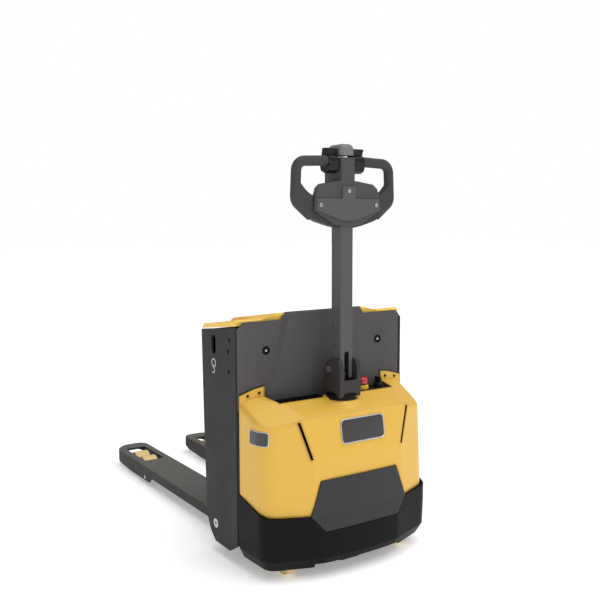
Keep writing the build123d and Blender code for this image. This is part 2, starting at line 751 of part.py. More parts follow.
FLOOR_END = -355.0
FLANGE_OUT = FORK_X + FORK_W / 2
FLANGE_IN = FORK_X - FORK_W / 2
with BuildPart() as battery_box:
    # floor, rear wall and front wall between the side plates
    with BuildSketch(level(BOX_FLOOR)):
        with Locations((0, BOX_REAR)):
            Rectangle(2 * PLATE_IN, FLOOR_END - BOX_REAR, align=(Align.CENTER, Align.MIN))
    extrude(amount=6)
    with BuildSketch(across(BOX_REAR + 6)):
        with Locations((0, BOX_FLOOR)):
            Rectangle(2 * PLATE_IN, 838 - BOX_FLOOR, align=(Align.CENTER, Align.MIN))
    extrude(amount=6)
    with BuildSketch(beside(-PLATE_IN)):
        with BuildLine():
            Polyline(*BOX_WALL, *[(y - 6, z) for y, z in reversed(BOX_WALL)], close=True)
        make_face()
    extrude(amount=2 * PLATE_IN)
    # the forks and their rods pass through
    with Locations((FORK_X, FORK_HEEL, 0), (-FORK_X, FORK_HEEL, 0)):
        Box(FORK_W, 80, 2 * HEEL_TOP, mode=Mode.SUBTRACT)
    # cross plate that ties the fork roots together at the rear
    with BuildSketch(across(BOX_REAR + 6)):
        with Locations((0, HEEL_TOP)):
            Rectangle(2 * (FLANGE_OUT - 8), 40, align=(Align.CENTER, Align.MIN))
    extrude(amount=6)
    for sign in (1, -1):
        for x in (FLANGE_OUT - 8, FLANGE_IN):
            with BuildSketch(beside(sign * x - (0 if sign > 0 else 8))):
                with BuildLine():
                    Polyline((BOX_REAR, HEEL_TOP), (BOX_REAR, BOX_FLOOR + 1),
                             (FLOOR_END, BOX_FLOOR + 1), (-357, 176), (-367, 113),
                             (-380, HEEL_TOP), close=True)
                make_face()
                with Locations((PIVOT_Y, PIVOT_Z)):
                    Circle(28, mode=Mode.SUBTRACT)
                with Locations((PIVOT_Y, HEEL_TOP)):
                    Rectangle(56, 28, align=(Align.CENTER, Align.MIN), mode=Mode.SUBTRACT)
            extrude(amount=8)
    # eyes of the battery cover's hinges
    for sign in (1, -1):
        add(hinge_eye(sign * HINGE_X + 0.5, EYE_W,
                      ((-334, 812), (LID_HINGE_Y - 3, LID_HINGE_Z - 1),
                       (LID_HINGE_Y + 4, LID_HINGE_Z - 3), (-334, 796))))
        with BuildSketch(beside(sign * HINGE_X + 0.5)):
            with Locations((LID_HINGE_Y, LID_HINGE_Z)):
                Circle(HINGE_PIN_R)
        extrude(amount=EYE_W, mode=Mode.SUBTRACT)
    # bracket that the lift rod pushes on
    with BuildSketch(level(ROD_TOP)):
        with Locations((0, BOX_REAR + 1)):
            Rectangle(90, 52, align=(Align.CENTER, Align.MAX))
    extrude(amount=14)
    for sign in (1, -1):
        with BuildSketch(beside(sign * 41 - 4)):
            with BuildLine():
                Polyline((BOX_REAR + 1, ROD_TOP), (BOX_REAR - 50, ROD_TOP + 13),
                         (BOX_REAR + 1, ROD_TOP + 90), close=True)
            make_face()
        extrude(amount=8)
battery_box.part.label = "battery_box"
export_step(battery_box.part, "parts/battery_box.step")

with BuildPart() as cover_hinge_pins:
    for sign in (1, -1):
        with BuildSketch(beside(sign * HINGE_X - EYE_W)):
            with Locations((LID_HINGE_Y, LID_HINGE_Z)):
                Circle(HINGE_PIN_R)
        extrude(amount=2 * EYE_W + 0.5)
cover_hinge_pins.part.label = "cover_hinge_pins"
export_step(cover_hinge_pins.part, "parts/cover_hinge_pins.step")

TIP_R_OUT, TIP_R_IN = 82.0, 44.0
HEEL_END = -560.0


def fork_plan(inset):
    """Plan of one fork about its own centre line, x outwards; rounded at the tip."""
    half = FORK_W / 2 - inset
    end = TIP_Y - inset
    Line((-half, HEEL_END), (half, HEEL_END))
    Line((half, HEEL_END), (half, end - TIP_R_OUT + inset))
    ThreePointArc(
        (half, end - TIP_R_OUT + inset),
        (half - (TIP_R_OUT - inset) * 0.293, end - (TIP_R_OUT - inset) * 0.293),
        (half - TIP_R_OUT + inset, end))
    Line((half - TIP_R_OUT + inset, end), (-half + TIP_R_IN - inset, end))
    ThreePointArc(
        (-half + TIP_R_IN - inset, end),
        (-half + (TIP_R_IN - inset) * 0.293, end - (TIP_R_IN - inset) * 0.293),
        (-half, end - TIP_R_IN + inset))
    Line((-half, end - TIP_R_IN + inset), (-half, HEEL_END))


with BuildPart() as fork_shape:
    with BuildSketch(level(SKIRT_LOW)):
        with BuildLine():
            fork_plan(0)
        make_face()
    extrude(amount=FORK_TOP - SKIRT_LOW)
    # side view: shallow flange, deep skirt by the load wheels, rising tip
    with BuildSketch(beside(-200)):
        with BuildLine():
            Polyline(
                (HEEL_END, FORK_TOP), (HEEL_END, FORK_LOW), (385, FORK_LOW), (410, SKIRT_LOW),
                (640, SKIRT_LOW), (765, 27), (TIP_Y - 20, 44), (TIP_Y, 60),
                (TIP_Y, FORK_TOP), close=True)
        make_face()
    extrude(amount=400, mode=Mode.INTERSECT)
    chamfer(fork_shape.faces().sort_by(Axis.Z)[-1].edges(), length=3)
    # hollow underneath
    with BuildSketch(level(0)):
        with BuildLine():
            fork_plan(FORK_T)
        make_face()
    extrude(amount=FORK_TOP - FORK_T, mode=Mode.SUBTRACT)
    # the heel is a step lower, so that the box stands clear of the load face
    with BuildSketch(level(HEEL_TOP)):
        with Locations((0, HEEL_END - 10)):
            Rectangle(FORK_W + 10, HEEL_STEP - HEEL_END + 10, align=(Align.CENTER, Align.MIN))
    extrude(amount=10, mode=Mode.SUBTRACT)
    # top plate ends at the box; the flanges run on below it
    with BuildSketch(level(0)):
        with Locations((0, HEEL_END - 10)):
            Rectangle(FORK_W - 2 * FORK_T, FORK_HEEL - HEEL_END + 10,
                      align=(Align.CENTER, Align.MIN))
    extrude(amount=200, mode=Mode.SUBTRACT)
    with BuildSketch(level(0)):
        with Locations((0, (OPENING[0] + OPENING[1]) / 2)):
            RectangleRounded(96, OPENING[1] - OPENING[0], 8)
    extrude(amount=200, mode=Mode.SUBTRACT)
    # bearings of the load-wheel link's shaft
    with Locations((0, LINK_Y, LINK_Z)):
        Cylinder(9, FORK_W + 10, rotation=(0, 90, 0), mode=Mode.SUBTRACT)
    # room for the rocker shaft under the box
    with Locations((0, PIVOT_Y, PIVOT_Z)):
        Cylinder(29, FORK_W + 10, rotation=(0, 90, 0), mode=Mode.SUBTRACT)

fork_solid = fork_shape.part
for side, sign in (("left", -1), ("right", 1)):
    with BuildPart() as fork:
        with Locations((FORK_X, 0, 0)):
            add(fork_solid)
        if sign < 0:
            mirror(about=Plane.YZ, mode=Mode.REPLACE)
    fork.part.label = f"fork_{side}"
    export_step(fork.part, f"parts/fork_{side}.step")

with BuildPart() as link_pins:
    for sign in (1, -1):
        with BuildSketch(beside(sign * FORK_X - FORK_W / 2)):
            with Locations((LINK_Y, LINK_Z)):
                Circle(9)
        extrude(amount=FORK_W)
link_pins.part.label = "link_pins"
export_step(link_pins.part, "parts/link_pins.step")

with BuildPart() as pivot_bolts:
    for sign in (1, -1):
        for radius, depth in ((BOLT_HEAD_R, BOLT_HEAD_H), (10, 40)):
            with BuildSketch(beside(sign * HALF_WIDTH)):
                with Locations((PIVOT_Y, PIVOT_Z)):
                    Circle(radius)
            extrude(amount=-sign * depth)
        with BuildSketch(beside(sign * HALF_WIDTH)):
            with Locations((PIVOT_Y, PIVOT_Z)):
                RegularPolygon(radius=7, side_count=6)
        extrude(amount=-sign * 6, mode=Mode.SUBTRACT)
pivot_bolts.part.label = "pivot_bolts"
export_step(pivot_bolts.part, "parts/pivot_bolts.step")

BATTERY_TOP = 790.0
BATTERY_Y = -437.0
with BuildPart() as battery:
    with BuildSketch(level(BOX_FLOOR + 6)):
        with Locations((0, BATTERY_Y)):
            Rectangle(620, 150)
    extrude(amount=BATTERY_TOP - BOX_FLOOR - 6)
    # cell caps and lifting ears
    with BuildSketch(level(BATTERY_TOP)):
        with Locations((0, BATTERY_Y)):
            with GridLocations(96, 90, 6, 2):
                Circle(14)
    extrude(amount=8)
battery.part.label = "battery"
export_step(battery.part, "parts/battery.step")

with BuildPart() as battery_connector:
    with BuildSketch(level(BATTERY_TOP)):
        with Locations((-250, -450)):
            RectangleRounded(60, 26, 4)
    extrude(amount=30)
    with BuildSketch(beside(-280)):
        with Locations((-458, BATTERY_TOP + 15), (-442, BATTERY_TOP + 15)):
            Circle(4)
    extrude(amount=-14)
battery_connector.part.label = "battery_connector"
export_step(battery_connector.part, "parts/battery_connector.step")

# ---- battery cover, hinged at its fork-side edge ----
# raised middle that slopes to the sides and towards the forks
with BuildPart() as crown:
    with BuildSketch(across(-360)):
        with BuildLine():
            Polyline((-262, 835), (-262, 866), (-190, 887), (190, 887), (262, 866),
                     (262, 835), close=True)
        make_face()
    extrude(amount=-360 - LID_REAR)
    with BuildSketch(beside(-LID_X)):
        with BuildLine():
            Polyline((LID_REAR, 860), (LID_REAR, 880), (LID_REAR + 8, 887), (-390, 857),
                     (-362, 841), (-362, 835), close=True)
        make_face()
    extrude(amount=2 * LID_X, mode=Mode.INTERSECT)

with BuildPart() as battery_cover:
    with BuildSketch(beside(-LID_X)):
        with BuildLine():
            Polyline((LID_REAR, 852), (LID_REAR, 866), (LID_REAR + 10, 873), (-345, 838),
                     (-330, 824), (-330, 820.5), close=True)
        make_face()
    extrude(amount=2 * LID_X)
    add(crown.part)
    for sign in (1, -1):
        add(hinge_eye(sign * HINGE_X - EYE_W, EYE_W,
                      ((-331, 829), (LID_HINGE_Y, LID_HINGE_Z + EYE_R),
                       (LID_HINGE_Y, LID_HINGE_Z - 2), (-331, 821.5))))
        with BuildSketch(beside(sign * HINGE_X - EYE_W)):
            with Locations((LID_HINGE_Y, LID_HINGE_Z)):
                Circle(HINGE_PIN_R + RUN)
        extrude(amount=EYE_W, mode=Mode.SUBTRACT)
battery_cover.part.label = "battery_cover"
export_step(battery_cover.part, "parts/battery_cover.step")

# ============================================================ lift linkage
half_rock = ROCKER_SWING / 2
half_link = LINK_SWING / 2
ARM_PIN = Vector(0, PIVOT_Y - ROCKER_ARM * math.cos(half_rock),
                 PIVOT_Z + ROCKER_ARM * math.sin(half_rock))
LOW_PIN = Vector(0, PIVOT_Y - ROCKER_DROP * math.sin(half_rock),
                 PIVOT_Z - ROCKER_DROP * math.cos(half_rock))
LINK_PIN = Vector(0, LINK_Y - LINK_LEVER * math.sin(half_link),
                  LINK_Z + LINK_LEVER * math.cos(half_link))


def bar(y1, z1, y2, z2, r1, r2):
    """Sketch of a bar in (y, z) with round ends of two radii."""
    with BuildSketch(mode=Mode.PRIVATE) as s:
        with Locations((y1, z1)):
            Circle(r1)
        with Locations((y2, z2)):
            Circle(r2)
        make_hull()
    return s.sketch


with BuildPart() as lift_rocker:
    # torsion tube
    with BuildSketch(beside(-PLATE_IN + 3)):
        with Locations((PIVOT_Y, PIVOT_Z)):
            Circle(20)
    extrude(amount=2 * (PLATE_IN - 3))
    for sign in (1, -1):
        # long rear arm with its roller
        with BuildSketch(beside(sign * ROCKER_X - 7)):
            add(bar(PIVOT_Y, PIVOT_Z, ARM_PIN.Y, ARM_PIN.Z, 26, 14))
        extrude(amount=14)
        with BuildSketch(beside(sign * ROCKER_X)):
            with Locations((ARM_PIN.Y, ARM_PIN.Z)):
                Circle(ROLLER_R)
        extrude(amount=-sign * 27)
        # short lower lobes that push the rod
        for lobe in (-15, 15):
            with BuildSketch(beside(sign * FORK_X + lobe - 3)):
                add(bar(PIVOT_Y, PIVOT_Z, LOW_PIN.Y, LOW_PIN.Z, 24, 12))
            extrude(amount=6)
        with BuildSketch(beside(sign * FORK_X - 15)):
            with Locations((LOW_PIN.Y, LOW_PIN.Z)):
                Circle(PIN_R)
        extrude(amount=30)
    # bores for the pivot bolts
    for sign in (1, -1):
        with BuildSketch(beside(sign * HALF_WIDTH)):
            with Locations((PIVOT_Y, PIVOT_Z)):
                Circle(10 + RUN)
        extrude(amount=-sign * 41, mode=Mode.SUBTRACT)
lift_rocker.part.label = "lift_rocker"
export_step(lift_rocker.part, "parts/lift_rocker.step")

ROD_REAR = (LOW_PIN.Y, LOW_PIN.Z - ROCKER_DROP * (1 - math.cos(half_rock)) / 2)
ROD_FRONT = (LINK_PIN.Y, LINK_PIN.Z + LINK_LEVER * (1 - math.cos(half_link)) / 2)
EYE_GAP = 1.3
with BuildPart() as push_rods:
    for sign in (1, -1):
        with BuildSketch(beside(sign * FORK_X - 6)):
            add(bar(ROD_REAR[0], ROD_REAR[1], ROD_FRONT[0], ROD_FRONT[1], 6.5, 6.5))
            with Locations(ROD_REAR):
                Circle(11)
            with Locations(ROD_FRONT):
                Circle(10.5)
            with Locations(ROD_REAR, ROD_FRONT):
                Circle(PIN_R + EYE_GAP, mode=Mode.SUBTRACT)
        extrude(amount=12)
push_rods.part.label = "push_rods"
export_step(push_rods.part, "parts/push_rods.step")

ARM_X = 50.0
STUB_R = 9.0
for side, sign in (("left", -1), ("right", 1)):
    with BuildPart() as load_link:
        with BuildSketch(beside(sign * FORK_X - ARM_X)):
            with Locations((LINK_Y, LINK_Z)):
                Circle(14)
        extrude(amount=2 * ARM_X)
        for x in (-ARM_X, ARM_X - 7):
            with BuildSketch(beside(sign * FORK_X + x)):
                add(bar(LINK_Y, LINK_Z, BOGIE_Y, LOAD_R, 14, 14))
            extrude(amount=7)
        for lobe in (-15, 15):
            with BuildSketch(beside(sign * FORK_X + lobe - 3)):
                add(bar(LINK_Y, LINK_Z, LINK_PIN.Y, LINK_PIN.Z, 14, 9.5))
            extrude(amount=6)
        with BuildSketch(beside(sign * FORK_X - 15)):
            with Locations((LINK_PIN.Y, LINK_PIN.Z)):
                Circle(PIN_R)
        extrude(amount=30)
        # stub pins that carry the bogie
        for x, depth in ((-ARM_X + 6, 7.5), (ARM_X - 6, -7.5)):
            with BuildSketch(beside(sign * FORK_X + x)):
                with Locations((BOGIE_Y, LOAD_R)):
                    Circle(STUB_R)
            extrude(amount=depth)
        with BuildSketch(beside(sign * FORK_X - ARM_X - 1)):
            with Locations((LINK_Y, LINK_Z)):
                Circle(9 + RUN)
        extrude(amount=2 * ARM_X + 2, mode=Mode.SUBTRACT)
    load_link.part.label = f"load_link_{side}"
    export_step(load_link.part, f"parts/load_link_{side}.step")

    with BuildPart() as bogie:
        for x in (-ARM_X + 7.5, ARM_X - 13.5):
            with BuildSketch(beside(sign * FORK_X + x)):
                with BuildLine():
                    Polyline((BOGIE_Y - 62, 34), (BOGIE_Y - 62, 50), (BOGIE_Y - 50, 60),
                             (BOGIE_Y + 50, 60), (BOGIE_Y + 62, 50), (BOGIE_Y + 62, 34),
                             (BOGIE_Y + 50, 26), (BOGIE_Y - 50, 26), close=True)
                make_face()
                with Locations((BOGIE_Y, LOAD_R)):
                    Circle(STUB_R + RUN, mode=Mode.SUBTRACT)
            extrude(amount=6)
        for y in (-LOAD_PITCH / 2, LOAD_PITCH / 2):
            with BuildSketch(beside(sign * FORK_X - ARM_X + 9)):
                with Locations((BOGIE_Y + y, LOAD_R)):
                    Circle(8)
            extrude(amount=2 * ARM_X - 18)
    bogie.part.label = f"bogie_{side}"
    export_step(bogie.part, f"parts/bogie_{side}.step")

    for end, offset in (("rear", -LOAD_PITCH / 2), ("front", LOAD_PITCH / 2)):
        with BuildPart() as load_wheel:
            with BuildSketch(beside(sign * FORK_X - LOAD_W / 2)):
                with Locations((BOGIE_Y + offset, LOAD_R)):
                    Circle(LOAD_R)
            extrude(amount=LOAD_W)
            rims = load_wheel.edges().filter_by(GeomType.CIRCLE)
            chamfer(rims, length=3)
            with BuildSketch(beside(sign * FORK_X - LOAD_W / 2)):
                with Locations((BOGIE_Y + offset, LOAD_R)):
                    Circle(8 + RUN)
            extrude(amount=LOAD_W, mode=Mode.SUBTRACT)
            for x in (-LOAD_W / 2, LOAD_W / 2 - 3):
                with BuildSketch(beside(sign * FORK_X + x)):
                    with Locations((BOGIE_Y + offset, LOAD_R)):
                        Circle(25)
                        Circle(14, mode=Mode.SUBTRACT)
                extrude(amount=3, mode=Mode.SUBTRACT)
        load_wheel.part.label = f"load_wheel_{side}_{end}"
        export_step(load_wheel.part, f"parts/load_wheel_{side}_{end}.step")

# ============================================================ castors
for side, sign in (("left", -1), ("right", 1)):
    with BuildPart() as castor_yoke:
        with BuildSketch(level(CASTOR_SHELF)):
            with Locations((sign * CASTOR_X, CASTOR_AXIS_Y)):
                Circle(11)
        extrude(amount=8)
        with BuildSketch(level(CASTOR_SHELF + 8.3)):
            with Locations((sign * CASTOR_X, CASTOR_AXIS_Y)):
                Circle(18)
        extrude(amount=8)
        with BuildSketch(level(CASTOR_SHELF - 5)):
            with Locations((sign * CASTOR_X, CASTOR_AXIS_Y)):
                Circle(11)
        extrude(amount=20)
        with BuildSketch(level(CASTOR_SHELF - 24.3)):
            with Locations((sign * CASTOR_X, CASTOR_AXIS_Y)):
                Circle(34)
        extrude(amount=24)
        for x in (-CASTOR_W / 2 - 7, CASTOR_W / 2 + 2):
            with BuildSketch(beside(sign * CASTOR_X + x)):
                with BuildLine():
                    Polyline(
                        (CASTOR_AXIS_Y + 30, CASTOR_SHELF - 2), (CASTOR_AXIS_Y + 24, 98),
                        (CASTOR_Y + 12, CASTOR_R - 12), (CASTOR_Y - 12, CASTOR_R - 12),
                        (CASTOR_AXIS_Y - 34, 105), (CASTOR_AXIS_Y - 32, CASTOR_SHELF - 2),
                        close=True)
                make_face()
            extrude(amount=5)
        with BuildSketch(beside(sign * CASTOR_X - CASTOR_W / 2 - 12)):
            with Locations((CASTOR_Y, CASTOR_R)):
                Circle(8)
        extrude(amount=CASTOR_W + 24)
    castor_yoke.part.label = f"castor_yoke_{side}"
    export_step(castor_yoke.part, f"parts/castor_yoke_{side}.step")

    with BuildPart() as castor_wheel:
        with BuildSketch(beside(sign * CASTOR_X - CASTOR_W / 2)):
            with Locations((CASTOR_Y, CASTOR_R)):
                Circle(CASTOR_R)
        extrude(amount=CASTOR_W)
        chamfer(castor_wheel.edges().filter_by(GeomType.CIRCLE), length=4)
        with BuildSketch(beside(sign * CASTOR_X - CASTOR_W / 2)):
            with Locations((CASTOR_Y, CASTOR_R)):
                Circle(8 + RUN)
        extrude(amount=CASTOR_W, mode=Mode.SUBTRACT)
        for x in (-CASTOR_W / 2, CASTOR_W / 2 - 4):
            with BuildSketch(beside(sign * CASTOR_X + x)):
                with Locations((CASTOR_Y, CASTOR_R)):
                    Circle(34)
                    Circle(15, mode=Mode.SUBTRACT)
            extrude(amount=4, mode=Mode.SUBTRACT)
    castor_wheel.part.label = f"castor_wheel_{side}"
    export_step(castor_wheel.part, f"parts/castor_wheel_{side}.step")

# ============================================================ drive unit, turns with the tiller
WHEEL_CASE_X = -DRIVE_W / 2 - 3
with BuildPart() as gearbox:
    # neck in the bearing, and the flange under the deck
    with BuildSketch(level(290)):
        with Locations((0, STEER_Y)):
            Circle(80)
    extrude(amount=deck_top + 4 - 290)
    with BuildSketch(level(250)):
        with Locations((0, STEER_Y)):
            Circle(74)
    extrude(amount=42)
    # leg beside the wheel
    with BuildSketch(beside(WHEEL_CASE_X - 40)):
        with Locations((STEER_Y, DRIVE_R)):
            Circle(62)
        with BuildLine():
            Polyline((STEER_Y - 56, DRIVE_R), (STEER_Y - 50, 290), (STEER_Y + 50, 290),
                     (STEER_Y + 56, DRIVE_R), close=True)
        make_face()
    extrude(amount=40)
    with BuildSketch(beside(WHEEL_CASE_X - 2)):
        with Locations((STEER_Y, DRIVE_R)):
            Circle(24)
    extrude(amount=DRIVE_W + 14)
gearbox.part.label = "gearbox"
export_step(gearbox.part, "parts/gearbox.step")

with BuildPart() as drive_wheel_hub:
    with BuildSketch(beside(-DRIVE_W / 2)):
        with Locations((STEER_Y, DRIVE_R)):
            Circle(80)
            Circle(24 + RUN, mode=Mode.SUBTRACT)
    extrude(amount=DRIVE_W)
    for x in (-DRIVE_W / 2, DRIVE_W / 2 - 18):
        with BuildSketch(beside(x)):
            with Locations((STEER_Y, DRIVE_R)):
                Circle(68)
                Circle(40, mode=Mode.SUBTRACT)
        extrude(amount=18, mode=Mode.SUBTRACT)
drive_wheel_hub.part.label = "drive_wheel_hub"
export_step(drive_wheel_hub.part, "parts/drive_wheel_hub.step")

with BuildPart() as drive_wheel_tyre:
    with BuildSketch(beside(-DRIVE_W / 2)):
        with Locations((STEER_Y, DRIVE_R)):
            Circle(DRIVE_R)
    extrude(amount=DRIVE_W)
    chamfer(drive_wheel_tyre.edges().filter_by(GeomType.CIRCLE), length=5)
    with BuildSketch(beside(-DRIVE_W / 2)):
        with Locations((STEER_Y, DRIVE_R)):
            Circle(80)
    extrude(amount=DRIVE_W, mode=Mode.SUBTRACT)
drive_wheel_tyre.part.label = "drive_wheel_tyre"
export_step(drive_wheel_tyre.part, "parts/drive_wheel_tyre.step")

MOTOR_TOP = 548.0
FOOT_TOP = 596.0
with BuildPart() as drive_motor:
    with BuildSketch(level(deck_top + 4)):
        with Locations((0, STEER_Y)):
            Circle(60)
    extrude(amount=MOTOR_TOP - deck_top - 4)
    for z, radius in ((deck_top + 4, 68), (440, 66), (520, 63)):
        with BuildSketch(level(z)):
            with Locations((0, STEER_Y)):
                Circle(radius)
        extrude(amount=16)
drive_motor.part.label = "drive_motor"
export_step(drive_motor.part, "parts/drive_motor.step")

# ---- tiller foot ----
EAR_IN = 28.5
EAR_OUT = 45.0
GAS_REACH = 30.0
GAS_ANGLE = math.radians(130)
GAS_PIN = (TILT_Y - GAS_REACH * math.sin(GAS_ANGLE), TILT_Z + GAS_REACH * math.cos(GAS_ANGLE))
with BuildPart() as tiller_bracket:
    with BuildSketch(level(MOTOR_TOP)):
        with Locations((0, STEER_Y)):
            Circle(COLLAR_R - 3)
    extrude(amount=FOOT_TOP - MOTOR_TOP)
    with BuildSketch(level(FOOT_TOP)):
        with Locations((0, -702)):
            RectangleRounded(2 * EAR_OUT, 100, 14)
    extrude(amount=30)
    with BuildSketch(beside(-EAR_OUT)):
        with BuildLine():
            FilletPolyline(
                (-652, FOOT_TOP), (-654, 690), (-682, 726), (-742, 726), (-756, 690),
                (-752, FOOT_TOP),
                radius=8)
            Line((-752, FOOT_TOP), (-652, FOOT_TOP))
        make_face()
    extrude(amount=2 * EAR_OUT)
    # space between the ears, open to the rear top, with a low front wall
    with BuildSketch(beside(-EAR_IN)):
        with BuildLine():
            Polyline((-640, 626), (-748, 626), (-748, 655), (-760, 655), (-760, 740),
                     (-640, 740), close=True)
        make_face()
    extrude(amount=2 * EAR_IN, mode=Mode.SUBTRACT)
    # central lug for the gas spring
    with BuildSketch(beside(-5)):
        with BuildLine():
            Polyline((GAS_PIN[0] - 7, GAS_PIN[1]), (-722, 622), (-698, 622),
                     (GAS_PIN[0] + 7, GAS_PIN[1]), close=True)
        make_face()
        with Locations(GAS_PIN):
            Circle(7.5)
    extrude(amount=10)
    with BuildSketch(beside(-11)):
        with Locations(GAS_PIN):
            Circle(4)
    extrude(amount=22)
    # bore for the tilt pin
    with Locations((0, TILT_Y, TILT_Z)):
        Cylinder(8, 120, rotation=(0, 90, 0), mode=Mode.SUBTRACT)
tiller_bracket.part.label = "tiller_bracket"
export_step(tiller_bracket.part, "parts/tiller_bracket.step")

with BuildPart() as tiller_pin:
    with BuildSketch(beside(-EAR_OUT)):
        with Locations((TILT_Y, TILT_Z)):
            Circle(8)
    extrude(amount=2 * EAR_OUT)
    for x, depth in ((-EAR_OUT, -6), (EAR_OUT, 6)):
        with BuildSketch(beside(x)):
            with Locations((TILT_Y, TILT_Z)):
                RegularPolygon(radius=13, side_count=6)
        extrude(amount=depth)
tiller_pin.part.label = "tiller_pin"
export_step(tiller_pin.part, "parts/tiller_pin.step")

# ---- gas spring, drawn upright and then leaned onto its line ----
GAS_TOP = (TILT_Y - 10, TILT_Z + 250)
GAS_LENGTH = math.hypot(GAS_TOP[0] - GAS_PIN[0], GAS_TOP[1] - GAS_PIN[1])
GAS_LEAN = math.degrees(math.atan2(GAS_TOP[0] - GAS_PIN[0], GAS_TOP[1] - GAS_PIN[1]))
gas_plane = Plane(origin=(0, GAS_PIN[0], GAS_PIN[1]), x_dir=(1, 0, 0),
                  z_dir=(0, GAS_TOP[0] - GAS_PIN[0], GAS_TOP[1] - GAS_PIN[1]))
print("gas spring length", GAS_LENGTH, "lean deg", GAS_LEAN)
with BuildPart() as gas_spring_rod:
    for x in (5.6, -9.6):
        with BuildSketch(beside(x)):
            with Locations(GAS_PIN):
                Circle(8)
                Circle(4 + RUN, mode=Mode.SUBTRACT)
        extrude(amount=4)
    with BuildSketch(gas_plane.offset(9)):
        Rectangle(19.2, 9)
    extrude(amount=6)
    for x in (5.6, -9.6):
        with BuildSketch(beside(x)):
            with BuildLine():
                Polyline((GAS_PIN[0] - 4.2, GAS_PIN[1] + 6.6), (GAS_PIN[0] - 3.6, GAS_PIN[1] + 12),
                         (GAS_PIN[0] + 4.6, GAS_PIN[1] + 12), (GAS_PIN[0] + 4.6, GAS_PIN[1] + 6.6),
                         close=True)
            make_face()
        extrude(amount=4)
    with BuildSketch(gas_plane.offset(14)):
        Circle(4)
    extrude(amount=150)
gas_spring_rod.part.label = "gas_spring_rod"
export_step(gas_spring_rod.part, "parts/gas_spring_rod.step")

with BuildPart() as gas_spring_tube:
    with BuildSketch(gas_plane.offset(64)):
        Circle(8)
    extrude(amount=GAS_LENGTH - 64 - 20)
    with BuildSketch(gas_plane.offset(64)):
        Circle(4 + RUN)
    extrude(amount=160, mode=Mode.SUBTRACT)
gas_spring_tube.part.label = "gas_spring_tube"
export_step(gas_spring_tube.part, "parts/gas_spring_tube.step")

# ============================================================ tiller
ARM_LOW = 660.0
ARM_HIGH = 1250.0
arm_mid = (ARM_FRONT + ARM_BACK) / 2
arm_depth = ARM_BACK - ARM_FRONT
with BuildPart() as tiller_arm:
    with BuildSketch(level(ARM_LOW)):
        with Locations((0, arm_mid)):
            RectangleRounded(ARM_W, arm_depth, 5)
            RectangleRounded(ARM_W - 8, arm_depth - 8, 2, mode=Mode.SUBTRACT)
    extrude(amount=ARM_HIGH - ARM_LOW)
    # slot in the front wall that clears the gas spring's lug
    with BuildSketch(across(arm_mid)):
        with Locations((0, 704)):
            SlotOverall(100, 20, rotation=90)
    extrude(amount=60, mode=Mode.SUBTRACT)
    # two small holes in each side, and the bore of the tilt pin
    with Locations((0, TILT_Y, TILT_Z)):
        Cylinder(8 + RUN, 100, rotation=(0, 90, 0), mode=Mode.SUBTRACT)
    for y, z in ((-688, 771), (-688, 840)):
        with Locations((0, y, z)):
            Cylinder(3.5, 100, rotation=(0, 90, 0), mode=Mode.SUBTRACT)
tiller_arm.part.label = "tiller_arm"
export_step(tiller_arm.part, "parts/tiller_arm.step")

NECK_BACK = -636.0
NECK_TOP = 1424.0
HEAD_POINTS = [(30, 1190), (62, 1198), (143, 1244), (139, 1294), (129, 1320), (110, 1334), (34, 1345)]
HEAD_TAPER = 0.82
HORN = (-80, 1300)
HORN_R = 11.0
SWITCH_X, SWITCH_Z = 60.0, 1300.0
SWITCH_W = 34.0
with BuildPart() as head_body:
    for y, scale in ((HEAD_FRONT, 1.0), (HEAD_BACK, HEAD_TAPER)):
        with BuildSketch(across(y)):
            with BuildLine():
                Polyline(*[(x * scale, z) for x, z in HEAD_POINTS],
                         *[(-x * scale, z) for x, z in reversed(HEAD_POINTS)], close=True)
            make_face()
    loft(ruled=True)
    fillet(head_body.edges().group_by(Axis.Y)[0], radius=4)
    with BuildSketch(level(1300)):
        with Locations((0, (HEAD_FRONT + NECK_BACK) / 2)):
            RectangleRounded(60, NECK_BACK - HEAD_FRONT, 6)
    extrude(amount=NECK_TOP - 1300)
    # socket for the top of the arm
    with BuildSketch(level(1180)):
        with Locations((0, arm_mid)):
            RectangleRounded(ARM_W, arm_depth, 5)
    extrude(amount=ARM_HIGH - 1180, mode=Mode.SUBTRACT)
    # bore of the horn button and pocket of the lift switch
    with BuildSketch(across(HEAD_BACK)):
        with Locations(HORN):
            Circle(HORN_R + RUN)
        with Locations((SWITCH_X + SWITCH_W / 2, SWITCH_Z)):
            Rectangle(SWITCH_W + 1, 48)
    extrude(amount=14, mode=Mode.SUBTRACT)
    with BuildSketch(beside(SWITCH_X - 3)):
        with Locations((HEAD_BACK - 4, SWITCH_Z)):
            Circle(2.5 + RUN)
    extrude(amount=SWITCH_W + 6, mode=Mode.SUBTRACT)
head_body.part.label = "head_body"
export_step(head_body.part, "parts/head_body.step")

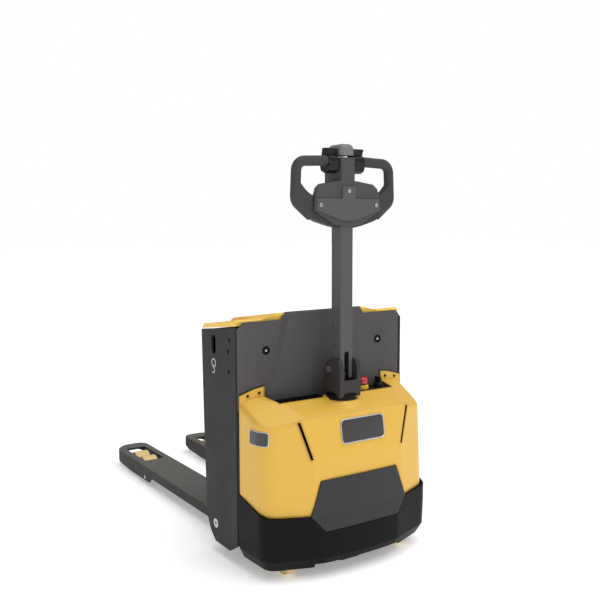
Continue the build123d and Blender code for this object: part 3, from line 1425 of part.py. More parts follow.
GRIP_R = 17.5
GRIP_X = 202.0
CORE_R = 13.0
PADDLE_IN, PADDLE_OUT = 34.0, 76.0
with BuildPart() as handle_loop:
    for sign in (1, -1):
        with BuildLine() as loop_path:
            FilletPolyline(
                (sign * (PADDLE_OUT + 1), GRIP_Y, GRIP_Z - 2), (sign * (GRIP_X - 6), GRIP_Y, 1407),
                (sign * GRIP_X, GRIP_Y, 1275), (sign * 140, GRIP_Y, 1226),
                radius=34)
        with BuildSketch(Plane(origin=loop_path.line @ 0, z_dir=loop_path.line % 0)):
            Circle(GRIP_R)
        sweep()
        with BuildSketch(beside(sign * 30)):
            with Locations((GRIP_Y, GRIP_Z)):
                Circle(CORE_R)
        extrude(amount=sign * (PADDLE_OUT - 25))
        # blade-like lower part that runs into the head
        with BuildSketch(across(GRIP_Y + 15)):
            with BuildLine():
                Polyline((sign * 198, 1266), (sign * 165, 1235), (sign * 150, 1220),
                         (sign * 118, 1206), (sign * 62, 1190), (sign * 30, 1184),
                         (sign * 30, 1225), (sign * 118, 1262), (sign * 130, 1290),
                         (sign * 152, 1300), (sign * 170, 1314), (sign * 188, 1334), close=True)
            make_face()
        extrude(amount=30)
    add(head_body.part, mode=Mode.SUBTRACT)
    with BuildSketch(level(1100)):
        with Locations((0, arm_mid)):
            Rectangle(61, 80)
    extrude(amount=200, mode=Mode.SUBTRACT)
handle_loop.part.label = "handle_loop"
export_step(handle_loop.part, "parts/handle_loop.step")

PLATE_FRONT = HEAD_FRONT - 5
HEAD_SCREWS = [(-118, 1262), (118, 1262), (0, 1310)]
with BuildPart() as head_plate:
    with BuildSketch(across(HEAD_FRONT)):
        with BuildLine():
            FilletPolyline((28, 1326), (28, 1284), (132, 1284), (136, 1246), (30, 1210),
                     (-30, 1210), (-136, 1246), (-132, 1284), (-28, 1284), (-28, 1326),
                     close=True, radius=3)
        make_face()
        with Locations(*HEAD_SCREWS):
            Circle(3.2, mode=Mode.SUBTRACT)
    extrude(amount=5)
    chamfer(head_plate.faces().sort_by(Axis.Y)[0].outer_wire().edges(), length=1)
head_plate.part.label = "head_plate"
export_step(head_plate.part, "parts/head_plate.step")

head_screw = screw(7.0, 2.5, 3.0, 5.0, 2.4)
with BuildPart() as head_screws:
    with Locations(across(PLATE_FRONT)):
        with Locations(*HEAD_SCREWS):
            add(head_screw)
head_screws.part.label = "head_screws"
export_step(head_screws.part, "parts/head_screws.step")

with BuildPart() as thumb_control:
    for sign in (1, -1):
        x0 = PADDLE_IN if sign > 0 else -PADDLE_OUT
        with BuildSketch(beside(x0)):
            with BuildLine():
                FilletPolyline((-724, 1455), (-690, 1456), (-685, 1430), (-674, 1403),
                               (-681, 1380), (-704, 1370), (-726, 1379), (-733, 1402),
                               (-714, 1431), close=True, radius=5)
            make_face()
            with Locations((GRIP_Y, GRIP_Z)):
                Circle(CORE_R + 5)
                Circle(CORE_R + RUN, mode=Mode.SUBTRACT)
        extrude(amount=PADDLE_OUT - PADDLE_IN)
thumb_control.part.label = "thumb_control"
export_step(thumb_control.part, "parts/thumb_control.step")

BUTTON_TRAVEL = 6.0
DOME_BACK = -648.0
with BuildPart() as safety_button:
    with BuildSketch(level(NECK_TOP + BUTTON_TRAVEL + 1)):
        with Locations((0, (HEAD_FRONT + DOME_BACK) / 2)):
            RectangleRounded(59.4, DOME_BACK - HEAD_FRONT + 2, 20)
    extrude(amount=HEIGHT - NECK_TOP - BUTTON_TRAVEL - 1)
    fillet(safety_button.edges().group_by(Axis.Z)[-1], radius=19)
safety_button.part.label = "safety_button"
export_step(safety_button.part, "parts/safety_button.step")

with BuildPart() as horn_button:
    with BuildSketch(across(HEAD_BACK + 8)):
        with Locations(HORN):
            Circle(HORN_R)
    extrude(amount=17)
    fillet(horn_button.edges().group_by(Axis.Y)[-1], radius=2)
horn_button.part.label = "horn_button"
export_step(horn_button.part, "parts/horn_button.step")

with BuildPart() as lift_switch:
    with BuildSketch(beside(SWITCH_X)):
        with BuildLine():
            Polyline((HEAD_BACK - 1, SWITCH_Z - 21), (HEAD_BACK + 8, SWITCH_Z - 21),
                     (HEAD_BACK + 4, SWITCH_Z), (HEAD_BACK + 8, SWITCH_Z + 21),
                     (HEAD_BACK - 1, SWITCH_Z + 21), (HEAD_BACK - 7, SWITCH_Z), close=True)
        make_face()
    extrude(amount=SWITCH_W)
    with BuildSketch(beside(SWITCH_X - 2.5)):
        with Locations((HEAD_BACK - 4, SWITCH_Z)):
            Circle(2.5)
    extrude(amount=SWITCH_W + 5)
lift_switch.part.label = "lift_switch"
export_step(lift_switch.part, "parts/lift_switch.step")
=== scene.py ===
import math

import bmesh
import bpy
from mathutils import Matrix, Vector
from mathutils.bvhtree import BVHTree


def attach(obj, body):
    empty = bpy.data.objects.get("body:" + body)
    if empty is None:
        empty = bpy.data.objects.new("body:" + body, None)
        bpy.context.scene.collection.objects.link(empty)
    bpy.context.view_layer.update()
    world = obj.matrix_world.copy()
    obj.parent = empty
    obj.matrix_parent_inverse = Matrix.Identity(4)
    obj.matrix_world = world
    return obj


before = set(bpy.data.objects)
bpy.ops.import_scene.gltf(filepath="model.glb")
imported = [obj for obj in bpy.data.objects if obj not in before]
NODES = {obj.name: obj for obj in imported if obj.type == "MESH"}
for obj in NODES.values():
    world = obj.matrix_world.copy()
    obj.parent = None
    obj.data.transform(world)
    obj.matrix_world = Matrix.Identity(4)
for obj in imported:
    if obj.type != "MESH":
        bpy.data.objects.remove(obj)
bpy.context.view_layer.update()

MM = 0.001
SIDES = (("left", -1), ("right", 1))
scene = bpy.context.scene


# ------------------------------------------------------------------ materials
EDGE_WIDTH = 0.0012
EDGE_SCALE = 60.0
BEVEL_SAMPLES = 4


def linear(r, g, b):
    """Scene colour from 0-255 screen values."""
    def one(v):
        v /= 255.0
        return v / 12.92 if v <= 0.04045 else ((v + 0.055) / 1.055) ** 2.4
    return (one(r), one(g), one(b), 1.0)


def scaled(colour, k):
    return tuple(min(1.0, c * k) for c in colour[:3]) + (1.0,)


class Tree:
    """A material's node tree with short helpers."""

    def __init__(self, name):
        self.mat = bpy.data.materials.new(name)
        self.mat.use_nodes = True
        self.nodes = self.mat.node_tree.nodes
        self.links = self.mat.node_tree.links
        self.shader = self.nodes["Principled BSDF"]
        self.coords = self.nodes.new("ShaderNodeTexCoord")

    def node(self, kind, inputs=(), **attributes):
        n = self.nodes.new(kind)
        for key, value in attributes.items():
            setattr(n, key, value)
        for key, value in dict(inputs).items():
            if isinstance(value, bpy.types.NodeSocket):
                self.links.new(value, n.inputs[key])
            else:
                n.inputs[key].default_value = value
        return n

    def place(self, scale):
        m = self.node("ShaderNodeMapping", {"Vector": self.coords.outputs["Object"], "Scale": scale})
        return m.outputs["Vector"]

    def noise(self, scale, detail=3.0, rough=0.5, vector=None):
        n = self.node("ShaderNodeTexNoise",
                      {"Vector": vector or self.coords.outputs["Object"], "Scale": scale,
                       "Detail": detail, "Roughness": rough})
        return n.outputs["Fac"]

    def ramp(self, fac, stops):
        n = self.node("ShaderNodeValToRGB", {"Fac": fac})
        ramp = n.color_ramp
        while len(ramp.elements) < len(stops):
            ramp.elements.new(0.5)
        for element, (at, colour) in zip(ramp.elements, stops):
            element.position = at
            element.color = colour
        return n.outputs["Color"]

    def span(self, fac, low, high, start=0.3, end=0.7):
        n = self.node("ShaderNodeMapRange",
                      {"Value": fac, "From Min": start, "From Max": end,
                       "To Min": low, "To Max": high})
        return n.outputs["Result"]

    def mix(self, fac, a, b, blend="MIX"):
        n = self.node("ShaderNodeMix", data_type="RGBA", blend_type=blend)
        for key, value in (("Factor", fac), ("A", a), ("B", b)):
            socket = [s for s in n.inputs if s.name == key
                      and s.type == ("VALUE" if key == "Factor" else "RGBA")][0]
            if isinstance(value, bpy.types.NodeSocket):
                self.links.new(value, socket)
            else:
                socket.default_value = value
        return [s for s in n.outputs if s.type == "RGBA"][0]

    def math(self, op, a, b):
        n = self.node("ShaderNodeMath", operation=op)
        for i, value in enumerate((a, b)):
            if isinstance(value, bpy.types.NodeSocket):
                self.links.new(value, n.inputs[i])
            else:
                n.inputs[i].default_value = value
        return n.outputs[0]

    def bump(self, height, strength, distance, normal):
        values = {"Height": height, "Strength": strength, "Distance": distance, "Normal": normal}
        return self.node("ShaderNodeBump", values).outputs["Normal"]

    def bevel(self, radius):
        return self.node("ShaderNodeBevel", {"Radius": radius}, samples=BEVEL_SAMPLES).outputs["Normal"]

    def edges(self):
        """1 along worn edges, 0 on flats, from how far the rounded normal turns."""
        geometry = self.node("ShaderNodeNewGeometry")
        dot = self.node("ShaderNodeVectorMath", operation="DOT_PRODUCT")
        self.links.new(self.bevel(EDGE_WIDTH), dot.inputs[0])
        self.links.new(geometry.outputs["Normal"], dot.inputs[1])
        away = self.math("SUBTRACT", 1.0, dot.outputs["Value"])
        patches = self.span(self.noise(EDGE_SCALE, 4.0, 0.7), 0.0, 9.0)
        broken = self.math("MULTIPLY", away, patches)
        return self.node("ShaderNodeClamp", {"Value": broken}).outputs["Result"]

    def set(self, **values):
        for key, value in values.items():
            socket = self.shader.inputs[key.replace("_", " ")]
            if isinstance(value, bpy.types.NodeSocket):
                self.links.new(value, socket)
            else:
                socket.default_value = value


def powder_coat(name, colour, rough=0.5, worn=0.35, bevel=0.0015, specular=0.2, side_shade=1.0):
    """Baked paint on steel: orange peel, lighter rubbed edges, and painted shade where it faces
    sideways.
    """
    t = Tree(name)
    clouds = t.noise(2.6, 4.0, 0.6)
    tint = t.ramp(clouds, [(0.3, scaled(colour, 0.9)), (0.7, scaled(colour, 1.08))])
    specks = t.ramp(t.noise(900.0, 2.0, 0.6),
                    [(0.38, scaled(colour, 0.82)), (0.62, scaled(colour, 1.16))])
    tint = t.mix(0.45, tint, specks)
    # Painted shade: faces turned sideways get a darker copy of the paint, upward faces keep it.
    if side_shade < 1:
        normal = t.node("ShaderNodeNewGeometry").outputs["Normal"]
        up = t.node("ShaderNodeSeparateXYZ", {0: normal}).outputs["Z"]
        shaded = t.mix(1.0, tint, (side_shade, side_shade, side_shade, 1), blend="MULTIPLY")
        tint = t.mix(t.span(up, 0.0, 1.0, 0.2, 0.8), shaded, tint)
    tint = t.mix(t.math("MULTIPLY", t.edges(), worn), tint, scaled(colour, 2.3))
    peel = t.noise(420.0, 2.0, 0.5)
    normal = t.bump(peel, 0.25, 0.0004, t.bevel(bevel))
    t.set(Base_Color=tint, Roughness=t.span(t.noise(7.0, 5.0, 0.6), rough - 0.06, rough + 0.08),
          Normal=normal, Specular_IOR_Level=specular)
    return t.mat


def moulded(name, colour, rough=0.4, grain=0.3, scale=1500.0, coat=0.0, worn=0.2, bevel=0.0015,
            cloud=0.05, specular=0.5):
    """Moulded plastic: fine tool grain, faint flow clouds, rubbed edges."""
    t = Tree(name)
    clouds = t.noise(3.2, 3.0, 0.55)
    tint = t.ramp(clouds, [(0.3, scaled(colour, 1 - cloud)), (0.7, scaled(colour, 1 + cloud))])
    fine = t.ramp(t.noise(scale * 0.7, 2.0, 0.6),
                  [(0.35, scaled(colour, 0.95)), (0.65, scaled(colour, 1.05))])
    tint = t.mix(0.5, tint, fine)
    tint = t.mix(t.math("MULTIPLY", t.edges(), worn), tint, scaled(colour, 1.6))
    cells = t.node("ShaderNodeTexVoronoi", {"Vector": t.coords.outputs["Object"], "Scale": scale})
    normal = t.bump(cells.outputs["Distance"], grain, 0.00025, t.bevel(bevel))
    t.set(Base_Color=tint, Roughness=t.span(t.noise(9.0, 5.0, 0.65), rough - 0.05, rough + 0.07),
          Normal=normal, Coat_Weight=coat, Coat_Roughness=0.12, Specular_IOR_Level=specular)
    return t.mat


def machined(name, colour, rough=0.3, along="Z"):
    """Turned or brushed metal with fine lines across one axis."""
    t = Tree(name)
    stretch = {"X": (40, 2600, 2600), "Y": (2600, 40, 2600), "Z": (2600, 2600, 40)}[along]
    lines = t.noise(1.0, 3.0, 0.6, t.place(stretch))
    tint = t.ramp(lines, [(0.3, scaled(colour, 0.78)), (0.7, scaled(colour, 1.15))])
    stains = t.ramp(t.noise(14.0, 5.0, 0.6), [(0.35, scaled(colour, 0.7)), (0.6, colour)])
    tint = t.mix(0.4, tint, stains)
    t.set(Base_Color=tint, Metallic=1.0, Roughness=t.span(lines, rough - 0.08, rough + 0.12),
          Normal=t.bump(lines, 0.12, 0.0002, t.bevel(0.0008)))
    return t.mat


def cast(name, colour):
    """Sand-cast iron under thin paint."""
    t = Tree(name)
    pits = t.noise(260.0, 5.0, 0.65)
    tint = t.ramp(pits, [(0.3, scaled(colour, 0.7)), (0.7, scaled(colour, 1.2))])
    tint = t.mix(t.math("MULTIPLY", t.edges(), 0.5), tint, scaled(colour, 2.4))
    t.set(Base_Color=tint, Metallic=0.35, Roughness=t.span(t.noise(30.0, 4.0), 0.52, 0.72),
          Normal=t.bump(pits, 0.5, 0.0006, t.bevel(0.002)))
    return t.mat


def rubber(name, colour, rough=0.75):
    """Solid rubber: matt, with patches of lighter dust."""
    t = Tree(name)
    dust = t.noise(35.0, 6.0, 0.7)
    tint = t.ramp(dust, [(0.42, colour), (0.75, scaled(colour, 2.6))])
    t.set(Base_Color=tint, Roughness=t.span(dust, rough - 0.1, rough + 0.15),
          Normal=t.bump(t.noise(700.0, 3.0), 0.35, 0.0004, t.bevel(0.001)))
    return t.mat


def urethane(name, colour):
    """Cast polyurethane: slightly translucent, scuffed on the tread."""
    t = Tree(name)
    scuffs = t.noise(1.0, 6.0, 0.7, t.place((60, 420, 420)))
    tint = t.ramp(scuffs, [(0.3, scaled(colour, 0.8)), (0.55, colour), (0.8, scaled(colour, 1.1))])
    t.set(Base_Color=tint, Roughness=t.span(scuffs, 0.3, 0.5), Subsurface_Weight=0.12,
          Subsurface_Radius=(0.01, 0.006, 0.003), Subsurface_Scale=0.3,
          Normal=t.bump(scuffs, 0.15, 0.0003, t.bevel(0.0012)))
    return t.mat


YELLOW = linear(229, 183, 73)
M = {
    "cover": moulded("cover_yellow", YELLOW, rough=0.42, grain=0.12, scale=1100, coat=0.1,
                     cloud=0.025, worn=0.15, bevel=0.014, specular=0.4),
    # Painted highlight: the lid is the cover's yellow made a quarter lighter.
    "lid": moulded("lid_yellow_painted_highlight", scaled(YELLOW, 1.25), rough=0.4, grain=0.1, scale=1100, coat=0.15,
                   cloud=0.025, bevel=0.003),
    "panel": powder_coat("panel_grey", linear(84, 82, 83), rough=0.55, worn=0.3),
    "plate": powder_coat("plate_grey", linear(56, 56, 58), rough=0.55, worn=0.25, specular=0.12),
    # Fork sides carry painted shade, about a third as bright as the tops.
    "fork": powder_coat("fork_grey", linear(98, 96, 93), rough=0.5, worn=0.5, specular=0.1, side_shade=0.34),
    "frame": powder_coat("frame_black", linear(26, 26, 27), rough=0.55, worn=0.4),
    "bumper": moulded("bumper_black", linear(24, 24, 25), rough=0.42, grain=0.08, scale=1300,
                      worn=0.3, bevel=0.004, specular=0.06),
    "hex": moulded("bumper_panel_black", linear(56, 57, 59), rough=0.42, grain=0.15, scale=1300,
                   worn=0.3, bevel=0.002, specular=0.2),
    "tray": moulded("tray_black", linear(20, 20, 21), rough=0.5, grain=0.6, scale=900, specular=0.2),
    "bracket": powder_coat("bracket_grey", linear(58, 56, 56), rough=0.5, worn=0.4, specular=0.2),
    "tiller": powder_coat("tiller_grey", linear(88, 88, 89), rough=0.5, worn=0.25),
    "head": moulded("head_grey", linear(76, 76, 77), rough=0.55, grain=0.5, scale=900, bevel=0.002,
                    specular=0.2),
    "face": powder_coat("head_plate_grey", linear(88, 88, 89), rough=0.5, worn=0.2, bevel=0.0008),
    "loop": moulded("loop_grey", linear(66, 66, 68), rough=0.55, grain=0.6, scale=800, bevel=0.002,
                    specular=0.2),
    "control": moulded("control_black", linear(16, 16, 17), rough=0.4, grain=0.3, scale=1400,
                       specular=0.3),
    "button": moulded("button_grey", linear(118, 118, 118), rough=0.4, grain=0.3, scale=1400),
    "red": moulded("stop_red", linear(200, 34, 24), rough=0.28, grain=0.1, coat=0.4, worn=0.1),
    "collar": moulded("stop_yellow", linear(236, 196, 40), rough=0.35, grain=0.1, coat=0.2, worn=0.1),
    "tyre": rubber("tyre_black", linear(30, 30, 31)),
    "wheel": urethane("wheel_polyurethane", linear(232, 202, 134)),
    "hub": cast("hub_iron", linear(84, 84, 86)),
    "steel": machined("steel_bright", linear(176, 176, 178), along="X"),
    "zinc": machined("steel_zinc", linear(196, 196, 198), rough=0.34, along="Y"),
    "black_steel": machined("steel_black", linear(58, 58, 60), rough=0.38, along="X"),
    "motor": powder_coat("motor_grey", linear(60, 60, 62), rough=0.45),
    "alloy": machined("alloy_cast", linear(168, 168, 170), rough=0.45, along="Z"),
    "battery": moulded("battery_case", linear(48, 50, 54), rough=0.5, grain=0.4, scale=1000),
    "chrome": machined("chrome_rod", linear(215, 215, 218), rough=0.14, along="Z"),
    "white": moulded("mark_white", linear(222, 222, 220), rough=0.5, grain=0.2, scale=1500, worn=0.0),
    "plug": moulded("plug_black", linear(8, 8, 8), rough=0.4, grain=0.1, specular=0.15),
    "seal": rubber("seal_black", linear(14, 14, 14), rough=0.6),
    "silver": machined("badge_rim", linear(205, 205, 208), rough=0.3, along="X"),
    "badge": moulded("badge_face", linear(52, 50, 50), rough=0.35, grain=0.1, coat=0.3, worn=0.1),
}
NODE_MATERIAL = {
    "chassis_frame": "frame", "bulkhead_panel": "panel", "body_screws": "black_steel",
    "motor_cover": "cover", "bumper": "bumper", "bumper_panel": "hex", "storage_tray": "tray",
    "control_plate": "tray", "stop_button_collar": "collar", "pump_motor": "motor",
    "oil_tank": "tray", "motor_controller": "alloy", "lift_cylinder": "frame",
    "steering_bearing": "steel", "side_plate_left": "plate", "side_plate_right": "plate",
    "battery_box": "frame", "fork_left": "fork", "fork_right": "fork", "battery": "battery",
    "battery_connector": "red", "lift_rod": "chrome", "guide_rollers": "steel",
    "link_pins": "steel", "pivot_bolts": "zinc", "cover_hinge_pins": "steel",
    "battery_cover": "lid", "gearbox": "hub", "drive_motor": "motor",
    "tiller_bracket": "bracket", "tiller_pin": "zinc", "drive_wheel_hub": "hub",
    "drive_wheel_tyre": "tyre", "tiller_arm": "tiller", "head_body": "head",
    "head_plate": "face", "head_screws": "zinc", "handle_loop": "loop",
    "thumb_control": "control", "safety_button": "button", "horn_button": "control",
    "lift_switch": "control", "gas_spring_rod": "chrome", "gas_spring_tube": "black_steel",
    "stop_button": "red", "key_switch": "control", "lift_rocker": "frame", "push_rods": "steel",
}
for side, _ in SIDES:
    NODE_MATERIAL.update({
        f"castor_yoke_{side}": "zinc", f"castor_wheel_{side}": "wheel",
        f"load_link_{side}": "frame", f"bogie_{side}": "zinc",
        f"load_wheel_{side}_rear": "wheel", f"load_wheel_{side}_front": "wheel"})


def dress(name, material):
    obj = NODES[name]
    if not obj.material_slots:
        obj.data.materials.append(material)
    for s in obj.material_slots:
        s.material = material


for name, key in NODE_MATERIAL.items():
    dress(name, M[key])


# ------------------------------------------------------------------ mesh helpers
SMOOTH_ANGLE = 30
CORNER_STEPS = 6
DRAPE_RINGS = 5
DRAPE_START = 40.0
SKIRT_DEPTH = 1.0


def new_object(name, mesh, key, body, smooth=SMOOTH_ANGLE):
    """Put a mesh in the scene with one material, riding on a body."""
    obj = bpy.data.objects.new(name, mesh)
    scene.collection.objects.link(obj)
    mesh.materials.append(M[key])
    if smooth:
        for polygon in mesh.polygons:
            polygon.use_smooth = True
        mesh.set_sharp_from_angle(angle=math.radians(smooth))
    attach(obj, body)


def finish_mesh(bm, name):
    bmesh.ops.remove_doubles(bm, verts=bm.verts, dist=1e-7)
    bmesh.ops.recalc_face_normals(bm, faces=bm.faces)
    mesh = bpy.data.meshes.new(name)
    bm.to_mesh(mesh)
    bm.free()
    return mesh


def facing(direction, right, at):
    """Matrix at a point in mm: local z along direction, local x towards right."""
    z = Vector(direction).normalized()
    x = Vector(right)
    x = (x - z * x.dot(z)).normalized()
    y = z.cross(x)
    return Matrix.Translation(Vector(at) * MM) @ Matrix((x, y, z)).transposed().to_4x4()


def ring_points(bm, radius, height_at, centre_y=0.0, segments=48):
    """A ring of vertices about the vertical through (0, centre_y), in mm."""
    ring = []
    for i in range(segments):
        a = 2 * math.pi * i / segments
        y = centre_y + radius * math.sin(a)
        ring.append(bm.verts.new((radius * MM * math.cos(a), y * MM, height_at(y) * MM)))
    return ring


def revolve(name, profile, where, key, body, segments=48, smooth=35):
    """Solid of revolution: profile is (radius, height) in mm from bottom to top."""
    bm = bmesh.new()
    rings = []
    for r, h in profile:
        if r < 1e-6:
            rings.append([bm.verts.new((0, 0, h * MM))])
        else:
            rings.append(ring_points(bm, r, lambda y: h, segments=segments))
    for low, high in zip(rings, rings[1:]):
        for i in range(segments):
            j = (i + 1) % segments
            a, b = low[i % len(low)], low[j % len(low)]
            c, d = high[j % len(high)], high[i % len(high)]
            corners = list(dict.fromkeys((a, b, c, d)))
            if len(corners) > 2:
                bm.faces.new(corners)
    mesh = finish_mesh(bm, name)
    mesh.transform(where)
    new_object(name, mesh, key, body, smooth)


def rounded(width, height, radius):
    """Corner-rounded rectangle as points in mm, anticlockwise."""
    points = []
    for cx, cy, start in ((1, 1, 0), (-1, 1, 90), (-1, -1, 180), (1, -1, 270)):
        for i in range(CORNER_STEPS + 1):
            a = math.radians(start + 90 * i / CORNER_STEPS)
            points.append((cx * (width / 2 - radius) + radius * math.cos(a),
                           cy * (height / 2 - radius) + radius * math.sin(a)))
    return points


def dense(outline, step=5.0):
    """The same closed outline with extra points along its long edges."""
    points = []
    for a, b in zip(outline, outline[1:] + outline[:1]):
        count = max(1, math.ceil(math.dist(a, b) / step))
        points += [(a[0] + (b[0] - a[0]) * i / count, a[1] + (b[1] - a[1]) * i / count)
                   for i in range(count)]
    return points


def slab(name, outline, thickness, where, key, body, bevel=0.4):
    """A closed outline in mm raised by thickness, its top edges bevelled."""
    bm = bmesh.new()
    low = [bm.verts.new((x * MM, y * MM, 0)) for x, y in outline]
    high = [bm.verts.new((x * MM, y * MM, thickness * MM)) for x, y in outline]
    bm.faces.new(list(reversed(low)))
    bm.faces.new(high)
    n = len(outline)
    for i in range(n):
        bm.faces.new((low[i], low[(i + 1) % n], high[(i + 1) % n], high[i]))
    bmesh.ops.bevel(bm, geom=[e for e in bm.edges if all(v in high for v in e.verts)],
                    offset=bevel * MM, segments=2, affect="EDGES")
    mesh = finish_mesh(bm, name)
    mesh.transform(where)
    new_object(name, mesh, key, body)


def ribbon(name, centre, width, thickness, where, key, body, closed=False):
    """A flat line of constant width along points in mm."""
    bm = bmesh.new()
    n = len(centre)
    rows = []
    for i, p in enumerate(centre):
        before = Vector(centre[(i - 1) % n] if closed or i else centre[0])
        after = Vector(centre[(i + 1) % n] if closed or i < n - 1 else centre[-1])
        along = (after - before).normalized()
        side = Vector((-along.y, along.x)) * width / 2
        row = []
        for sign, z in ((1, 0), (-1, 0), (-1, thickness), (1, thickness)):
            q = Vector(p) + side * sign
            row.append(bm.verts.new((q.x * MM, q.y * MM, z * MM)))
        rows.append(row)
    pairs = list(zip(rows, rows[1:])) + ([(rows[-1], rows[0])] if closed else [])
    for a, b in pairs:
        for k in range(4):
            bm.faces.new((a[k], a[(k + 1) % 4], b[(k + 1) % 4], b[k]))
    if not closed:
        bm.faces.new(rows[0])
        bm.faces.new(list(reversed(rows[-1])))
    mesh = finish_mesh(bm, name)
    mesh.transform(where)
    new_object(name, mesh, key, body, smooth=0)


def arc(cx, cy, r, start, end, steps):
    angles = [math.radians(start + (end - start) * i / steps) for i in range(steps + 1)]
    return [(cx + r * math.cos(a), cy + r * math.sin(a)) for a in angles]


def tube(name, points, radius, key, body, smooth_path=True, closed=False):
    """A round bar, cable or bead along points in mm."""
    curve = bpy.data.curves.new(name, "CURVE")
    curve.dimensions = "3D"
    curve.bevel_depth = radius * MM
    curve.bevel_resolution = 4
    curve.resolution_u = 8
    curve.use_fill_caps = True
    spline = curve.splines.new("NURBS" if smooth_path else "POLY")
    spline.points.add(len(points) - 1)
    for point, at in zip(spline.points, points):
        point.co = (at[0] * MM, at[1] * MM, at[2] * MM, 1)
    spline.use_cyclic_u = closed
    if smooth_path:
        spline.use_endpoint_u = True
        spline.order_u = 3
    holder = bpy.data.objects.new(name, curve)
    scene.collection.objects.link(holder)
    bpy.context.view_layer.update()
    mesh = bpy.data.meshes.new_from_object(holder)
    mesh.name = name
    bpy.data.objects.remove(holder)
    mesh.materials.clear()
    new_object(name, mesh, key, body, smooth=40)


def surface(node):
    """Ray target made from a CAD node, in scene coordinates."""
    obj = NODES[node]
    points = [obj.matrix_world @ v.co for v in obj.data.vertices]
    return BVHTree.FromPolygons(points, [tuple(f.vertices) for f in obj.data.polygons])


def draped(name, target, outline, where, lift, key, body):
    """A thin plate that follows a surface; returns the line round its top edge."""
    down = where.to_3x3() @ Vector((0, 0, -1))

    def drop(x, y, height):
        start = where @ Vector((x * MM, y * MM, DRAPE_START * MM))
        return target.ray_cast(start, down)[0] - down * height * MM

    bm = bmesh.new()
    rows = [[bm.verts.new(drop(x * r / DRAPE_RINGS, y * r / DRAPE_RINGS, lift)) for x, y in outline]
            for r in range(1, DRAPE_RINGS + 1)]
    rows.append([bm.verts.new(drop(x * 1.015, y * 1.015, -SKIRT_DEPTH)) for x, y in outline])
    middle = bm.verts.new(drop(0, 0, lift))
    n = len(outline)
    for i in range(n):
        j = (i + 1) % n
        bm.faces.new((middle, rows[0][i], rows[0][j]))
        for low, high in zip(rows, rows[1:]):
            bm.faces.new((low[i], high[i], high[j], low[j]))
    new_object(name, finish_mesh(bm, name), key, body, smooth=40)
    return [drop(x, y, lift * 0.7) / MM for x, y in outline]


# ------------------------------------------------------------------ places on the truck, in mm
UP = (0, 0, 1)
ACROSS = (1, 0, 0)
REARWARD = (0, -1, 0)
PANEL_Y = -595        # rear face of the bulkhead panel
PANEL_SCREW = (247, 762)
STEER_Y = -705        # steering axis
PLATE_X = 360         # outer face of a side plate
PLATE_HOLES = ((-534, 798), (-524, 757), (-528, 685))
HOOK_MARK = (-420, 704)
FORK_X = 188
HEEL_WELD = (-372.5, 86.2)
TRAY_FLOOR = 555
BATTERY_TOP = 789.8
GEARBOX_TOP = 343.6
ROOF_BEND = -690      # the cover's roof slopes down behind this line
ROOF_HEIGHT = 591
ROOF_SLOPE = 0.3847
COLLAR_TOP = 584


def badge(name, width, height, corner, where, lift, rim):
    """A blank plate on the cover with a thin metal rim."""
    edge = draped(name, surface("motor_cover"), dense(rounded(width, height, corner)), where, lift,
                  "badge", "chassis")
    tube(f"{name}_rim", edge, rim, "silver", "chassis", smooth_path=False, closed=True)


def chassis_details():
    bpy.context.view_layer.update()
    badge("badge_rear", 186, 82, 16, facing((0, -0.988, 0.153), ACROSS, (22, -800, 491)), 2.4, 2.4)
    badge("badge_left", 84, 48, 10, facing((-0.93, -0.36, 0), (0.36, -0.93, 0), (-352, -704, 489)),
          2.0, 1.7)
    for side, sign in SIDES:
        screw = facing(REARWARD, ACROSS, (sign * PANEL_SCREW[0], PANEL_Y, PANEL_SCREW[1]))
        revolve(f"panel_screw_ring_{side}",
                [(8.5, -2.5), (15.5, -0.5), (15.0, 1.8), (12.5, 2.6), (9.2, 1.8), (8.5, -2.5)],
                screw, "plug", "chassis")
        revolve(f"panel_screw_cap_{side}", [(0, -1.5), (5.4, -1.5), (5.2, 0.6), (3.6, 1.3), (0, 1.5)],
                screw, "silver", "chassis")
        ribbon(f"tab_seam_{side}", [(sign * 257, 639.5), (sign * 300, 634), (sign * 357, 617)],
               3.4, 4.5, facing(REARWARD, ACROSS, (0, PANEL_Y, 0)), "seal", "chassis")
    slab("side_seal_left", rounded(6, 5.6, 2), 594, facing(UP, ACROSS, (-353.6, -585, 250)),
         "seal", "chassis")
    slab("side_seal_right", rounded(9, 6.4, 2.5), 240, facing(UP, ACROSS, (356, -592.6, 600)),
         "seal", "chassis")


def tiller_collar():
    """Moulded ring of the cover round the tiller foot, folded with the roof."""
    def roof(y):
        return ROOF_HEIGHT - ROOF_SLOPE * max(0.0, ROOF_BEND - y)

    def level_top(y):
        return max(roof(y), COLLAR_TOP)

    bm = bmesh.new()
    segments = 72
    rings = [ring_points(bm, radius, lambda y: follow(y) + height, STEER_Y, segments)
             for radius, height, follow in (
                 (70, -3, roof), (67, 0.6, roof), (56, 0.9, level_top), (52.4, 0.4, level_top),
                 (51.6, -12, level_top))]
    for low, high in zip(rings, rings[1:]):
        for i in range(segments):
            j = (i + 1) % segments
            bm.faces.new((low[i], low[j], high[j], high[i]))
    new_object("tiller_collar", finish_mesh(bm, "tiller_collar"), "cover", "chassis", smooth=60)


def tray_details():
    slab("tray_mat", rounded(176, 50, 8), 1.6, facing(UP, ACROSS, (-145, -647, TRAY_FLOOR)),
         "seal", "chassis", bevel=0.5)
    for i in range(9):
        x, z = -222 + i * 19, TRAY_FLOOR + 1.4
        tube(f"tray_mat_rib_{i}", [(x, -667, z), (x, -627, z)], 1.0, "tray", "chassis",
             smooth_path=False)


